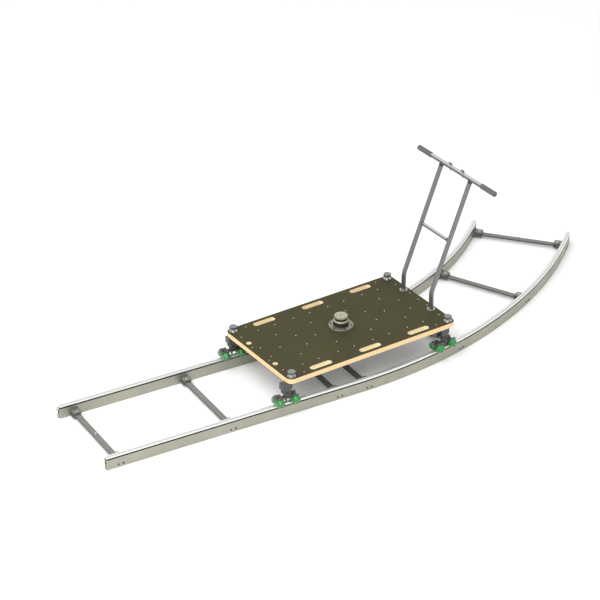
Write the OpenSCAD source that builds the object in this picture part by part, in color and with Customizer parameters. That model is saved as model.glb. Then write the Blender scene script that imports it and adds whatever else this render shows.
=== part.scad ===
// Dolly track: a straight and a curved section of rail track with a platform
// dolly on it. Millimetres, +Z up. The origin lies on the ground, in the middle
// of the box round the whole object.

/* [Track] */
// Distance between the centre lines of the two rails
gauge = 620; // [560:1:700]
// Length of the straight section
straight_len = 1620; // [1580:1:2400]
// Radius of the curved section at its centre line
curve_r = 2735; // [2500:1:3400]
// Turn of the curved section
curve_turn = 45; // [44.5:0.5:60]
// Width of the rail web
web_w = 28; // [26:0.5:32]
// Height of the rail web
web_h = 73; // [70:0.5:85]
// Radius of the round rail head
head_r = 15; // [14.5:0.25:17]
// Wall thickness of the rail
rail_wall = 3; // [2:0.25:4]
// Height of the groove under the rail head
groove_h = 4; // [2.5:0.25:5]
// Depth of the groove under the rail head
groove_deep = 3; // [2:0.25:4]
// Radius of the two round channels inside the rail
channel_r = 6.5; // [5:0.25:7]
// Height of the lower channel above the ground
channel_low_z = 20; // [17:0.5:22]
// Height of the upper channel above the ground
channel_high_z = 62; // [58:0.5:64]

/* [Dowels] */
// Diameter of the free half of a joining dowel
dowel_d = 15; // [12:0.5:15.5]
// Diameter of the half of a dowel that its own rail holds
dowel_held_d = 16; // [15.5:0.5:17]
// Length of a dowel that stands out of a rail end
dowel_out = 15; // [8:0.5:25]
// Depth of a dowel socket in a rail end
socket_depth = 32; // [25:0.5:40]
// Diameter of the set screws that hold the dowels
set_screw_d = 5; // [4:0.5:6]
// Distance of a set screw from the rail end
set_screw_in = 22; // [12:0.5:28]

/* [Ties] */
// Width of a tie bar
tie_w = 35; // [30:0.5:48]
// Thickness of a tie bar
tie_t = 11; // [8:0.25:14]
// Height of the top of a tie bar
tie_top_z = 31; // [29:0.25:33]
// Width of the clevis head at a tie end
tie_head_w = 54; // [50:0.5:64]
// Lower side of the clevis head
tie_head_low = 14; // [12:0.25:16]
// Upper side of the clevis head
tie_head_high = 46; // [42:0.25:50]
// Length of the clevis head
tie_head_len = 46; // [42:0.5:52]
// Corner chamfer of the clevis head
tie_head_chamfer = 9; // [4:0.5:12]
// Diameter of a tie pin
tie_pin_d = 12; // [8:0.5:14]
// Distance of a tie pin from the rail web
tie_pin_in = 36; // [34:0.5:40]
// Distance of the first tie from the left end
tie_first = 89; // [60:1:200]
// Place of the middle tie along the straight section
tie_middle = 809; // [500:1:1100]
// Distance of the third tie from the joint
tie_third = 100; // [60:1:200]
// Angle of the first tie past the joint
tie_curve_first = 1.94; // [1.6:0.02:4]
// Angle between ties on the curve
tie_curve_step = 13.6; // [10:0.1:13.7]
// Angle of the last tie from the free end
tie_curve_last = 1.6; // [1.5:0.05:3]
// Diameter of the small holes along a tie
tie_hole_d = 7; // [4:0.5:10]
// Distance of the outer tie holes from the middle
tie_hole_y = 185; // [120:1:205]

/* [Tie brackets] */
// Width of a tie bracket
bracket_w = 50; // [44:0.5:56]
// Lower side of a tie bracket
bracket_low = 8; // [5:0.5:10]
// Upper side of a tie bracket
bracket_high = 52; // [48:0.5:56]
// Thickness of the bracket's plate
bracket_t = 12; // [8:0.5:12.5]
// Radius of the bracket's tongue round its pin
tongue_r = 18; // [14:0.5:18]
// Thickness of the bracket's tongue
tongue_t = 16; // [10:0.5:20]
// Diameter of a bracket screw
screw_d = 6; // [4:0.5:7]
// Distance between the two screws of a bracket
screw_pitch = 31; // [24:0.5:36]
// Height of the bracket screws
screw_z = 19; // [16:0.5:24]
// Diameter of a bracket screw's head
screw_head_d = 11; // [9:0.5:13]
// Thickness of a bracket screw's head
screw_head_t = 2; // [1:0.25:3]

/* [Tie plungers] */
// Diameter of the plunger knob
plunger_d = 13; // [9:0.5:18]
// Height of the plunger knob
plunger_h = 12; // [8:0.5:18]
// Diameter of the plunger stem
plunger_stem_d = 6; // [4:0.25:6.5]
// Travel of the plunger
plunger_travel = 8; // [4:0.5:9]

/* [Deck] */
// Length of the deck
deck_l = 1204; // [1190:1:1300]
// Width of the deck
deck_w = 689; // [675:1:760]
// Thickness of the deck
deck_t = 30; // [27:0.5:36]
// Height of the top of the deck
deck_top_z = 246.7; // [244:0.1:256]
// Corner radius of the deck
deck_corner_r = 38; // [20:0.5:60]
// Distance between front and rear kingpins
wheelbase = 1129; // [1100:1:1140]
// Place of the rear kingpins' middle along the straight section
dolly_x = 1177.8; // [1120:0.1:1230]
// Length of a hand slot
slot_l = 150; // [110:1:170]
// Width of a hand slot
slot_w = 38; // [28:0.5:40]
// Distance between hand slots along the deck
slot_pitch = 351.8; // [280:0.1:360]
// Distance of a hand slot from the deck's centre line
slot_y = 300; // [296:0.5:306]
// Diameter of a post hole
post_hole_d = 32; // [32:0.5:36]
// Distance of a post hole from the deck's middle
post_hole_x = 565.5; // [560:0.5:570]
// Distance of a post hole from the centre line
post_y = 140.5; // [125:0.5:160]

/* [Threaded inserts] */
// Outer diameter of a threaded insert
insert_d = 10; // [9:0.25:12]
// Bore of a threaded insert
insert_bore_d = 6.8; // [5:0.1:7.5]
// Length of a threaded insert
insert_l = 20; // [12:0.5:24]
// Radius of the three-hole patterns
triple_r = 67.6; // [55:0.1:75]
// Distance of the inner three-hole patterns from the middle
triple_x1 = 125.4; // [120:0.1:135]
// Distance of the outer three-hole patterns from the middle
triple_x2 = 378.5; // [365:0.1:390]
// Distance of the three-hole patterns from the centre line
triple_y = 200.5; // [190:0.1:204]
// Distance of the corner inserts from their kingpin
corner_insert_gap = 88; // [70:0.5:92]
// Distance of the end inserts from the centre line
end_insert_y = 88.5; // [75:0.5:100]
// Distance of the end inserts from the deck's end
end_insert_in = 28.4; // [20:0.1:40]
// Start of the rear seat pattern, from the middle
seat_x1 = -538; // [-545:1:-520]
// Start of the front seat pattern, from the middle
seat_x2 = 218.7; // [195:0.1:235]
// Distance of the seat pattern's side holes from the centre line
seat_y = 58; // [50:0.5:66]
// Distance of the seat pattern's second row from its start
seat_row = 252; // [235:1:265]
// Distance of the seat pattern's first middle hole from its start
seat_mid = 101; // [95:1:108]

/* [Kingpins and knobs] */
// Diameter of a kingpin
kingpin_d = 24; // [18:0.5:26]
// Diameter of the thread at the top of a kingpin
kingpin_thread_d = 16; // [12:0.5:17]
// Diameter of the washer on the deck
washer_d = 50; // [44:0.5:56]
// Thickness of the washer on the deck
washer_t = 4; // [2:0.25:5]
// Diameter of a corner knob
knob_d = 49; // [40:0.5:56]
// Height of a corner knob
knob_h = 15; // [12:0.5:20]
// Height of the knob's lower side above the deck
knob_lift = 20; // [14:0.5:26]
// Radius of a finger notch in a knob
knob_notch_r = 6; // [4:0.25:8]
// Number of finger notches in a knob
knob_notches = 6; // [3:1:8]
// Thickness of the thrust washer under the deck
thrust_t = 2; // [1:0.25:3]

/* [Trucks] */
// Distance of the near bogies behind their kingpins
trail_near = 38; // [30:0.5:42]
// Distance of the far bogies behind their kingpins
trail_far = 12; // [0:0.5:20]
// Distance between the wheel pairs of a bogie
wheel_pitch = 104; // [98:0.5:112]
// Height of the cross pin in a truck
pivot_z = 154; // [150:0.5:158]
// Diameter of the cross pin
pivot_d = 14; // [10:0.5:16]
// Diameter of the cross pin's heads
pivot_head_d = 20; // [16:0.5:24]
// Play of the cross pin in the bogie, all round
pivot_play = 0.15; // [0.1:0.01:0.3]
// Width of a yoke along the rail
yoke_w = 64; // [56:0.5:70]
// Thickness of the yoke's top plate
yoke_plate_t = 9; // [6:0.5:12]
// Thickness of a fork cheek
cheek_t = 8; // [6:0.5:9]
// Width of a fork cheek
cheek_w = 42; // [36:0.5:48]
// Thickness of the bogie's centre lug
lug_t = 10; // [8:0.5:12]
// Side float of the lug in its fork, each way
side_float = 8.5; // [8.2:0.1:10]
// Radius of the centre lug's round top
lug_r = 17; // [14:0.5:18]
// Thickness of a sloped bogie plate
plate_t = 6; // [4:0.25:7]
// Length of a bogie
bogie_l = 146; // [136:1:160]
// Width of a sloped plate past its axles
plate_over = 19; // [12:0.5:20]
// Cut back of the sloped plates between the wheel pairs
plate_cut = 13.5; // [10:0.5:15]
// Length of that cut
plate_cut_l = 54; // [48:1:60]

/* [Wheels] */
// Diameter of a wheel
wheel_d = 50; // [46:0.5:52]
// Width of a wheel
wheel_w = 38; // [32:0.5:38.5]
// Edge radius of a wheel
wheel_edge_r = 9; // [8.5:0.25:12]
// Gap between a wheel and the rail head
rail_gap = 0.5; // [0.3:0.05:0.8]
// Distance of a wheel's middle down its axle from the rail's contact
wheel_slip = -0.5; // [-0.8:0.1:3]
// Gap between a wheel and its plate
wheel_side_gap = 1.9; // [1:0.1:3]
// Outer diameter of a wheel bearing
bearing_d = 22; // [19:0.5:24]
// Width of a wheel bearing
bearing_w = 7; // [5:0.5:9]
// Diameter of an axle bolt
axle_d = 8; // [6:0.5:9]
// Diameter of an axle bolt's head
axle_head_d = 14; // [12:0.5:18]
// Thickness of an axle bolt's head
axle_head_t = 4.5; // [3:0.25:6]
// Diameter of an axle nut
axle_nut_d = 14; // [12:0.5:14.5]
// Height of an axle nut
axle_nut_t = 5; // [4:0.25:5.5]

/* [Brake lever] */
// Length of the brake lever
lever_l = 74; // [50:1:85]
// Width of the brake lever
lever_w = 12; // [8:0.5:14]
// Rise angle of the brake lever at rest
lever_angle = 28; // [20:1:34]
// Height of the brake lever's pivot
lever_z = 168; // [164:0.5:174]
// Diameter of the brake lever's pivot pin
lever_pin_d = 6; // [4:0.5:7]

/* [Push bar] */
// Diameter of a post
post_d = 29; // [20:0.5:29.5]
// Wall thickness of the push bar's tubes
tube_wall = 2.5; // [1.5:0.25:3]
// Height at which the posts bend
post_bend_z = 365; // [330:1:420]
// Radius of the bend
post_bend_r = 100; // [60:1:140]
// Slant of the posts past the bend
post_slant = 21.5; // [10:0.5:30]
// Height of the handlebar
bar_z = 1048; // [950:1:1150]
// Diameter of the handlebar
bar_d = 28; // [24:0.5:32]
// Length of the handlebar
bar_l = 750; // [640:1:800]
// Diameter of a grip
grip_d = 33; // [32.5:0.5:38]
// Length of a grip
grip_l = 128; // [90:1:140]
// Height of the brace
brace_z = 676; // [600:1:760]
// Diameter of the brace
brace_d = 22; // [16:0.5:24]
// Length of the saddle between a post and the handlebar
saddle_l = 12; // [8:0.5:18]
// Length of the collar between the brace and a post
collar_l = 8; // [5:0.5:14]
// Length of the spigot that plugs a saddle or a collar into its tube
spigot_l = 18; // [12:0.5:26]
// Distance of a wing screw from the middle of the handlebar
wing_y = 60; // [40:1:90]
// Diameter of a wing screw
wing_d = 8; // [6:0.5:9]
// Length of a wing screw below the handlebar's centre
wing_down = 24; // [18:1:34]
// Width across the wings
wing_span = 32; // [24:1:40]
// Depth of the lip that carries a post, below the deck
post_lip = 4; // [2:0.5:8]
// Diameter of a socket's flange
post_flange_d = 50; // [44:0.5:56]
// Thickness of a socket's flange
post_flange_t = 4; // [2:0.25:6]

/* [Centre mount] */
// Diameter of the base flange
flange_d = 150; // [130:1:160]
// Thickness of the base flange
flange_t = 12; // [8:0.5:14]
// Number of flange screws
flange_screws = 6; // [3:1:8]
// Radius of the flange screws' circle
flange_screw_r = 64; // [58:0.5:66]
// Diameter of a flange screw's head
flange_screw_d = 9; // [7:0.5:12]
// Diameter of the drum
drum_d = 94; // [84:0.5:100]
// Height of the drum above the deck
drum_h = 42; // [34:0.5:50]
// Diameter at the top of the drum's chamfer
drum_ring_d = 78; // [74:0.5:82]
// Diameter of the neck
neck_d = 71; // [60:0.5:73]
// Height of the neck's top above the deck
neck_h = 63; // [58:0.5:66]
// Diameter of the top disc
top_d = 80; // [74:0.5:88]
// Height of the top disc above the deck
top_h = 76; // [72:0.5:82]
// Diameter of the top disc's spindle
spindle_d = 30; // [20:0.5:40]
// Diameter of the hole in the top disc
top_hole_d = 10; // [8:0.5:14]

/* [Fits] */
// Radial clearance of a shaft in its hole
fit = 0.05; // [0.03:0.01:0.08]
// Gap between faces of pieces that move past each other
face_gap = 0.3; // [0.2:0.05:0.5]

/* [Hidden] */
$fn = 64;

// Small amount by which a cut runs past the face that it opens
cut = 1;
half_gauge = gauge / 2;
web_half = web_w / 2;
rail_in = half_gauge - web_half;

// Deck: its rear axle stands on the straight, its front axle on the curve's centre line
chord_a = 2 * (dolly_x - straight_len) * wheelbase;
chord_b = 2 * wheelbase * curve_r;
chord_c = -(pow(dolly_x - straight_len, 2) + pow(wheelbase, 2));
deck_yaw = acos(chord_c / norm([chord_a, chord_b])) - atan2(chord_b, chord_a);
deck_x = dolly_x + wheelbase / 2 * cos(deck_yaw);
deck_y = wheelbase / 2 * sin(deck_yaw);
deck_low_z = deck_top_z - deck_t;
king_x = wheelbase / 2;
king_y = half_gauge;

// Places on the deck, turned into places on the track
function on_deck(x, y) = [deck_x + x * cos(deck_yaw) - y * sin(deck_yaw),
    deck_y + x * sin(deck_yaw) + y * cos(deck_yaw)];

// Curve: angle and distance of a place, seen from the curve's centre
function curve_angle(p) = atan2(p[0] - straight_len, curve_r - p[1]);
function curve_dist(p) = norm([p[0] - straight_len, curve_r - p[1]]);

// Wheel places: distance of a wheel's middle from the head's centre, square to the contact
contact_r = head_r + rail_gap + wheel_d / 2;
plate_low = wheel_w / 2 - wheel_slip + wheel_side_gap;
plate_high = plate_low + plate_t;
plate_reach = contact_r + plate_over;
fork_half = lug_t / 2 + side_float;
yoke_half = fork_half + cheek_t;

// Box round the whole object
wheel_side = (wheel_w / 2 - wheel_edge_r + wheel_d / 2 - wheel_edge_r) * sin(45) + wheel_edge_r;
x_low = -dowel_out;
x_high = straight_len + (curve_r + half_gauge + head_r) * sin(curve_turn);
y_low = -half_gauge - (contact_r + wheel_slip) * sin(45) - wheel_side;
y_high = curve_r - (curve_r - half_gauge - head_r) * cos(curve_turn);
centre = [(x_low + x_high) / 2, (y_low + y_high) / 2, 0];

straight_tie_places = [tie_first, tie_middle, straight_len - tie_third];
curved_tie_angles = [tie_curve_first, tie_curve_first + tie_curve_step,
    tie_curve_first + 2 * tie_curve_step, curve_turn - tie_curve_last];
bracket_gap = 0.3;
screw_seat = 0.2;
tie_pin_y = rail_in - tie_pin_in;
tongue_z = (tie_head_low + tie_head_high) / 2;
fork_gap = 0.5;
slot_low_z = tongue_z - tongue_t / 2 - fork_gap;
head_out = rail_in - bracket_gap - bracket_t - fork_gap;
head_in = head_out - tie_head_len;
knob_low_z = deck_top_z + knob_lift;
yoke_top_z = deck_low_z - thrust_t;
yoke_low_z = yoke_top_z - yoke_plate_t;
fork_room = 4;
fork_top_z = pivot_z + lug_r + fork_room;
cheek_r = cheek_w / 2;
post_run = (bar_z - post_bend_z) / cos(post_slant);
bar_x = post_hole_x + post_run * sin(post_slant);
brace_x = post_hole_x + (brace_z - post_bend_z) * tan(post_slant);
post_low_z = deck_low_z + face_gap;
bend_reach = post_bend_r * tan(post_slant / 2);
tie_pin_tail = 3;
tie_pin_head_r = tie_pin_d / 2 + 4;
tie_pin_head_t = 4;
small_edge = 1.5;
set_screw_sink = 1;
socket_spare = 1;
plunger_collar_t = 2.5;
plunger_edge = 2;
plunger_low_z = tie_top_z - tie_t - plunger_travel - face_gap - plunger_collar_t;
hole_spare = 1;
lip_bore_d = post_d - 3 * tube_wall;
flange_chamfer = 2;
flange_screw_shank_d = 5;
flange_screw_l = 20;
flange_screw_head_t = 3;
flange_screw_edge = 1;
flange_screw_turn = 15;
drum_chamfer_h = 5;
spindle_l = 20;
top_notches = 8;
top_notch_r = 7;
top_notch_out = 5;
top_line_w = 1.5;
top_line_deep = 1;
top_hole_low_z = neck_h - 8;
knob_edge = 3;
knob_thread_l = 9;
yoke_boss_r = kingpin_d / 2 + 9;
pivot_head_t = 4;
ear_t = 5;
ear_r = 8;
ear_gap = 2;
lever_x = -yoke_w / 2 - ear_r - ear_gap;
guide_w = 10;
guide_t = 6;
guide_gap = 2;
axle_head_gap = 0.6;
axle_end = 1;
bearing_step = 3;
bend_swell = 0.2;
bend_over = 0.5;
grip_end = 3;
grip_edge = 3;
wing_hub_d = 2 * wing_d - 2;
wing_hub_h = 8;
wing_h = 10;
wing_t = 4;

// Places of the threaded inserts
insert_places = concat(
    [for (x = [-triple_x2, -triple_x1, triple_x1, triple_x2]) for (s = [-1, 1])
        for (a = [0, 120, 240]) [x + triple_r * sin(a), s * (triple_y - triple_r * cos(a))]],
    [for (x = [-king_x, king_x]) for (s = [-1, 1]) [x, s * (king_y - corner_insert_gap)]],
    [for (e = [-1, 1]) for (s = [-1, 1]) [e * (king_x - corner_insert_gap), s * king_y]],
    [for (e = [-1, 1]) for (s = [-1, 1]) [e * (deck_l / 2 - end_insert_in), s * end_insert_y]],
    [for (x0 = [seat_x1, seat_x2]) for (x = [x0, x0 + seat_row]) for (s = [-1, 1]) [x, s * seat_y]],
    [for (x0 = [seat_x1, seat_x2]) for (x = [x0 + seat_mid, x0 + seat_mid + seat_row]) [x, 0]]);
// Directions of the flange screws, and of the notches and lines on the top disc
flange_screw_angles = [for (i = [0 : flange_screws - 1]) i * 360 / flange_screws + flange_screw_turn];
notch_angles = [for (i = [0 : top_notches - 1]) i * 360 / top_notches];
line_angles = [0, 60, 120];

module place() {
    translate(-centre) children();
}

module on_curve(angle) {
    translate([straight_len, curve_r, 0]) rotate([0, 0, angle]) translate([0, -curve_r, 0])
        children();
}

module deck_place() {
    place() translate([deck_x, deck_y, 0]) rotate([0, 0, deck_yaw]) children();
}

// Rail

module rail_outline() {
    difference() {
        union() {
            translate([-web_half, 0]) square([web_w, web_h]);
            intersection() {
                translate([0, web_h]) circle(r = head_r);
                translate([-head_r, web_h]) square([2 * head_r, head_r]);
            }
        }
        difference() {
            translate([-web_half + rail_wall, rail_wall])
                square([web_w - 2 * rail_wall, web_h - 2 * rail_wall - groove_h]);
            for (z = [channel_low_z, channel_high_z])
                translate([0, z]) circle(r = web_half - rail_wall / 2);
        }
        for (z = [channel_low_z, channel_high_z])
            translate([0, z]) circle(r = channel_r);
        for (x = [-web_half - cut, web_half - groove_deep])
            translate([x, web_h - groove_h]) square([groove_deep + cut, groove_h]);
    }
}

// Cuts for the set screws and the held or free dowels of a rail end; the rail runs
// off along +X
module rail_end_cuts(held) {
    for (z = [channel_low_z, channel_high_z]) {
        translate([-cut, 0, z]) rotate([0, 90, 0])
            cylinder(h = socket_depth + cut, d = (held ? dowel_held_d : dowel_d) + 2 * fit);
        translate([set_screw_in, -web_half - cut, z]) rotate([-90, 0, 0])
            cylinder(h = web_half + cut, d = set_screw_d + 2 * fit);
    }
}

// Cuts for a tie's bracket screws, through a rail that runs along X at side * half_gauge
module tie_screw_cuts(side) {
    for (x = [-screw_pitch / 2, screw_pitch / 2])
        translate([x, side * half_gauge - web_w / 2 - cut, screw_z]) rotate([-90, 0, 0])
            cylinder(h = web_w + 2 * cut, d = screw_d + 2 * fit);
}

module straight_rail(side) {
    place() difference() {
        translate([0, side * half_gauge, 0]) rotate([90, 0, 90])
            linear_extrude(height = straight_len) rail_outline();
        translate([0, side * half_gauge, 0]) rail_end_cuts(side > 0);
        translate([straight_len, side * half_gauge, 0]) mirror([1, 0, 0])
            rail_end_cuts(side < 0);
        for (x = straight_tie_places) translate([x, 0, 0]) tie_screw_cuts(side);
    }
}

module curved_rail(side) {
    place() difference() {
        translate([straight_len, curve_r, 0]) rotate([0, 0, -90])
            rotate_extrude(angle = curve_turn, $fn = 360)
            translate([curve_r - side * half_gauge, 0]) rail_outline();
        translate([straight_len, side * half_gauge, 0]) rail_end_cuts(side > 0);
        on_curve(curve_turn) translate([0, side * half_gauge, 0]) mirror([1, 0, 0])
            rail_end_cuts(false);
        for (angle = curved_tie_angles) on_curve(angle) tie_screw_cuts(side);
    }
}

module rail_straight_near() { color([0.71, 0.71, 0.67]) straight_rail(-1); }
module rail_straight_far() { color([0.71, 0.71, 0.67]) straight_rail(1); }
module rail_curved_near() { color([0.71, 0.71, 0.67]) curved_rail(-1); }
module rail_curved_far() { color([0.71, 0.71, 0.67]) curved_rail(1); }

// Ties

// One tie across the track; the head is a clevis round the bracket's tongue
module tie() {
    difference() {
        union() {
            translate([-tie_w / 2, -head_in - cut, tie_top_z - tie_t])
                cube([tie_w, 2 * (head_in + cut), tie_t]);
            for (s = [-1, 1]) scale_side(s) translate([0, 0, tie_head_low])
                linear_extrude(height = tie_head_high - tie_head_low) tie_head_outline();
        }
        for (s = [-1, 1]) scale_side(s) {
            translate([-tie_head_w / 2 - cut, tie_pin_y - tongue_r - fork_gap, slot_low_z])
                cube([tie_head_w + 2 * cut, tie_head_len, tongue_t + 2 * fork_gap]);
            translate([0, tie_pin_y, tie_head_low - cut])
                cylinder(h = tie_head_high - tie_head_low + 2 * cut, d = tie_pin_d + 2 * fit);
        }
        for (y = [-tie_hole_y, tie_hole_y]) translate([0, y, tie_top_z - tie_t - cut])
            cylinder(h = tie_t + 2 * cut, d = tie_hole_d);
        translate([0, 0, tie_top_z - tie_t - cut])
            cylinder(h = tie_t + 2 * cut, d = plunger_stem_d + 2 * fit);
    }
}

// The far side as drawn, or its mirror image on the near side
module scale_side(s) {
    if (s > 0) children();
    else mirror([0, 1, 0]) children();
}

module tie_head_outline() {
    w = tie_head_w / 2;
    c = tie_head_chamfer;
    polygon([[-tie_w / 2, head_in], [tie_w / 2, head_in], [w, head_in + c], [w, head_out - c],
        [w - c, head_out], [c - w, head_out], [-w, head_out - c], [-w, head_in + c]]);
}

module straight_ties() {
    color([0.6, 0.6, 0.6]) place() for (x = straight_tie_places) translate([x, 0, 0]) tie();
}

module curved_ties() {
    color([0.6, 0.6, 0.6]) place() for (angle = curved_tie_angles) on_curve(angle) tie();
}

// Whatever repeats at both ends of every tie
module at_tie_ends() {
    place() for (s = [-1, 1]) {
        for (x = straight_tie_places) translate([x, 0, 0]) scale_side(s) children();
        for (angle = curved_tie_angles) on_curve(angle) scale_side(s) children();
    }
}

module tie_bracket() {
    face_y = rail_in - bracket_gap;
    difference() {
        union() {
            translate([-bracket_w / 2, face_y - bracket_t, bracket_low])
                cube([bracket_w, bracket_t, bracket_high - bracket_low]);
            translate([0, 0, tongue_z - tongue_t / 2]) linear_extrude(height = tongue_t) {
                translate([0, tie_pin_y]) circle(r = tongue_r);
                translate([-tongue_r, tie_pin_y])
                    square([2 * tongue_r, face_y - bracket_t / 2 - tie_pin_y]);
            }
        }
        translate([0, tie_pin_y, bracket_low]) cylinder(h = bracket_high, d = tie_pin_d + 2 * fit);
        for (x = [-screw_pitch / 2, screw_pitch / 2])
            translate([x, face_y - bracket_t - cut, screw_z]) rotate([-90, 0, 0])
            cylinder(h = bracket_t + 2 * cut, d = screw_d + 2 * fit);
    }
}

module tie_brackets() { color([0.45, 0.46, 0.46]) at_tie_ends() tie_bracket(); }

module tie_pins() {
    color([0.72, 0.72, 0.7]) at_tie_ends() translate([0, tie_pin_y, 0]) {
        translate([0, 0, tie_head_low - tie_pin_tail])
            cylinder(h = tie_head_high - tie_head_low + tie_pin_tail, d = tie_pin_d);
        translate([0, 0, tie_head_high]) rotate_extrude()
            rounded_profile(tie_pin_head_r, tie_pin_head_t, small_edge);
    }
}

// Half of a disc's section, with its upper edge rounded
module rounded_profile(r, h, edge) {
    square([r, h - edge]);
    square([r - edge, h]);
    translate([r - edge, h - edge]) circle(r = edge);
}

// Bracket screws, from the rail's outer web into the bracket, and the set screws of the dowels
module rail_screws() {
    color([0.3, 0.3, 0.3]) {
        at_tie_ends() for (x = [-screw_pitch / 2, screw_pitch / 2])
            translate([x, half_gauge + web_half + screw_seat, screw_z]) rotate([90, 0, 0]) {
                cylinder(h = screw_seat + web_w + bracket_gap + bracket_t, d = screw_d);
                translate([0, 0, -screw_head_t]) cylinder(h = screw_head_t, d = screw_head_d);
            }
        place() for (z = [channel_low_z, channel_high_z]) {
            for (x = [set_screw_in, straight_len - set_screw_in, straight_len + set_screw_in])
                for (s = [-1, 1]) translate([x, s * half_gauge, z]) set_screw();
            on_curve(curve_turn) for (s = [-1, 1])
                translate([-set_screw_in, s * half_gauge, z]) set_screw();
        }
    }
}

// A set screw that ends a little below the web's outer face, on the near side of its rail
module set_screw() {
    translate([0, set_screw_sink - web_half, 0]) rotate([-90, 0, 0])
        cylinder(h = web_half - set_screw_sink - dowel_held_d / 2, d = set_screw_d);
}

// A dowel of the rail end at x = 0: its thicker half lies at -X in its own rail, its
// free half stands out along +X
module dowel(free_l) {
    held_l = socket_depth - socket_spare;
    rotate([0, 90, 0]) {
        translate([0, 0, -held_l]) cylinder(h = held_l, d = dowel_held_d);
        translate([0, 0, -cut]) cylinder(h = free_l + cut, d = dowel_d);
    }
}

module rail_dowels() {
    inner_l = socket_depth - socket_spare;
    color([0.75, 0.75, 0.73]) place() for (z = [channel_low_z, channel_high_z]) {
        translate([0, half_gauge, z]) mirror([1, 0, 0]) dowel(dowel_out);
        translate([straight_len, -half_gauge, z]) dowel(inner_l);
        translate([straight_len, half_gauge, z]) mirror([1, 0, 0]) dowel(inner_l);
    }
}

// A spring plunger in the middle of a tie: knob, stem and the collar that stops it
module tie_plunger() {
    knob_z = tie_top_z + face_gap;
    translate([0, 0, plunger_low_z]) {
        cylinder(h = knob_z - plunger_low_z, d = plunger_stem_d);
        cylinder(h = plunger_collar_t, d = 2 * plunger_stem_d);
    }
    translate([0, 0, knob_z]) rotate_extrude()
        rounded_profile(plunger_d / 2, plunger_h, plunger_edge);
}

module tie_plunger_left() {
    color([0.8, 0.8, 0.78]) place() translate([straight_tie_places[0], 0, 0]) tie_plunger();
}

module tie_plunger_right() {
    color([0.8, 0.8, 0.78]) place() on_curve(curved_tie_angles[3]) tie_plunger();
}

// Deck

module rounded_rectangle(l, w, r) {
    square([l - 2 * r, w], center = true);
    square([l, w - 2 * r], center = true);
    for (x = [r - l / 2, l / 2 - r])
        for (y = [r - w / 2, w / 2 - r])
            translate([x, y]) circle(r = r);
}

module slot_outline(l, w) {
    square([l - w, w], center = true);
    for (x = [(w - l) / 2, (l - w) / 2])
        translate([x, 0]) circle(d = w);
}

module deck_board() {
    color([0.34, 0.33, 0.25]) deck_place() difference() {
        translate([0, 0, deck_low_z]) linear_extrude(height = deck_t)
            rounded_rectangle(deck_l, deck_w, deck_corner_r);
        translate([0, 0, deck_low_z - cut]) linear_extrude(height = deck_t + 2 * cut) {
            for (x = [-slot_pitch, 0, slot_pitch])
                for (y = [-slot_y, slot_y])
                    translate([x, y]) slot_outline(slot_l, slot_w);
        }
        for (x = [-post_hole_x, post_hole_x])
            for (y = [-post_y, post_y])
                translate([x, y, deck_low_z - cut])
                    cylinder(h = deck_t + 2 * cut, d = post_hole_d);
        for (x = [-king_x, king_x])
            for (y = [-king_y, king_y])
                translate([x, y, deck_low_z - cut])
                    cylinder(h = deck_t + 2 * cut, d = kingpin_d + 2 * fit);
        for (p = insert_places)
            translate([p[0], p[1], deck_top_z - insert_l - hole_spare])
                cylinder(h = insert_l + hole_spare + cut, d = insert_d + 2 * fit);
        for (a = flange_screw_angles)
            rotate([0, 0, a])
                translate([flange_screw_r, 0, deck_top_z - flange_screw_l - hole_spare])
                cylinder(h = flange_screw_l + hole_spare + cut, d = flange_screw_shank_d + 2 * fit);
    }
}

module deck_inserts() {
    color([0.75, 0.74, 0.68]) deck_place() for (p = insert_places)
        translate([p[0], p[1], deck_top_z - insert_l]) difference() {
            cylinder(h = insert_l, d = insert_d);
            translate([0, 0, -cut]) cylinder(h = insert_l + 2 * cut, d = insert_bore_d);
        }
}

module ring(h, outer_d, inner_d) {
    difference() {
        cylinder(h = h, d = outer_d);
        translate([0, 0, -cut]) cylinder(h = h + 2 * cut, d = inner_d);
    }
}

module deck_washers() {
    color([0.68, 0.68, 0.65]) deck_place() for (x = [-king_x, king_x])
        for (y = [-king_y, king_y]) {
            translate([x, y, deck_top_z]) ring(washer_t, washer_d, kingpin_d + 2 * fit);
            translate([x, y, yoke_top_z]) ring(thrust_t, washer_d, kingpin_d + 2 * fit);
        }
}

module push_bar_sockets() {
    color([0.5, 0.5, 0.5]) deck_place() for (y = [-post_y, post_y])
        translate([post_hole_x, y, 0]) difference() {
            union() {
                translate([0, 0, deck_top_z]) cylinder(h = post_flange_t, d = post_flange_d);
                translate([0, 0, deck_low_z - post_lip])
                    cylinder(h = deck_t + post_lip, d = post_hole_d - 2 * fit);
            }
            translate([0, 0, deck_low_z])
                cylinder(h = deck_t + post_flange_t + cut, d = post_d + 2 * fit);
            translate([0, 0, deck_low_z - post_lip - cut])
                cylinder(h = post_lip + 2 * cut, d = lip_bore_d);
        }
}

// Centre mount

module mount_flange() {
    color([0.78, 0.76, 0.68]) deck_place() translate([0, 0, deck_top_z]) difference() {
        rotate_extrude($fn = 96) polygon([[0, 0], [flange_d / 2, 0],
            [flange_d / 2, flange_t - flange_chamfer], [flange_d / 2 - flange_chamfer, flange_t],
            [0, flange_t]]);
        for (a = flange_screw_angles)
            rotate([0, 0, a]) translate([flange_screw_r, 0, -cut])
                cylinder(h = flange_t + 2 * cut, d = flange_screw_shank_d + 2 * fit);
    }
}

module mount_flange_screws() {
    color([0.35, 0.35, 0.33]) deck_place() for (a = flange_screw_angles)
        rotate([0, 0, a]) translate([flange_screw_r, 0, deck_top_z]) {
            translate([0, 0, -flange_screw_l])
                cylinder(h = flange_screw_l + flange_t, d = flange_screw_shank_d);
            translate([0, 0, flange_t]) rotate_extrude()
                rounded_profile(flange_screw_d / 2, flange_screw_head_t, flange_screw_edge);
        }
}

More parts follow.
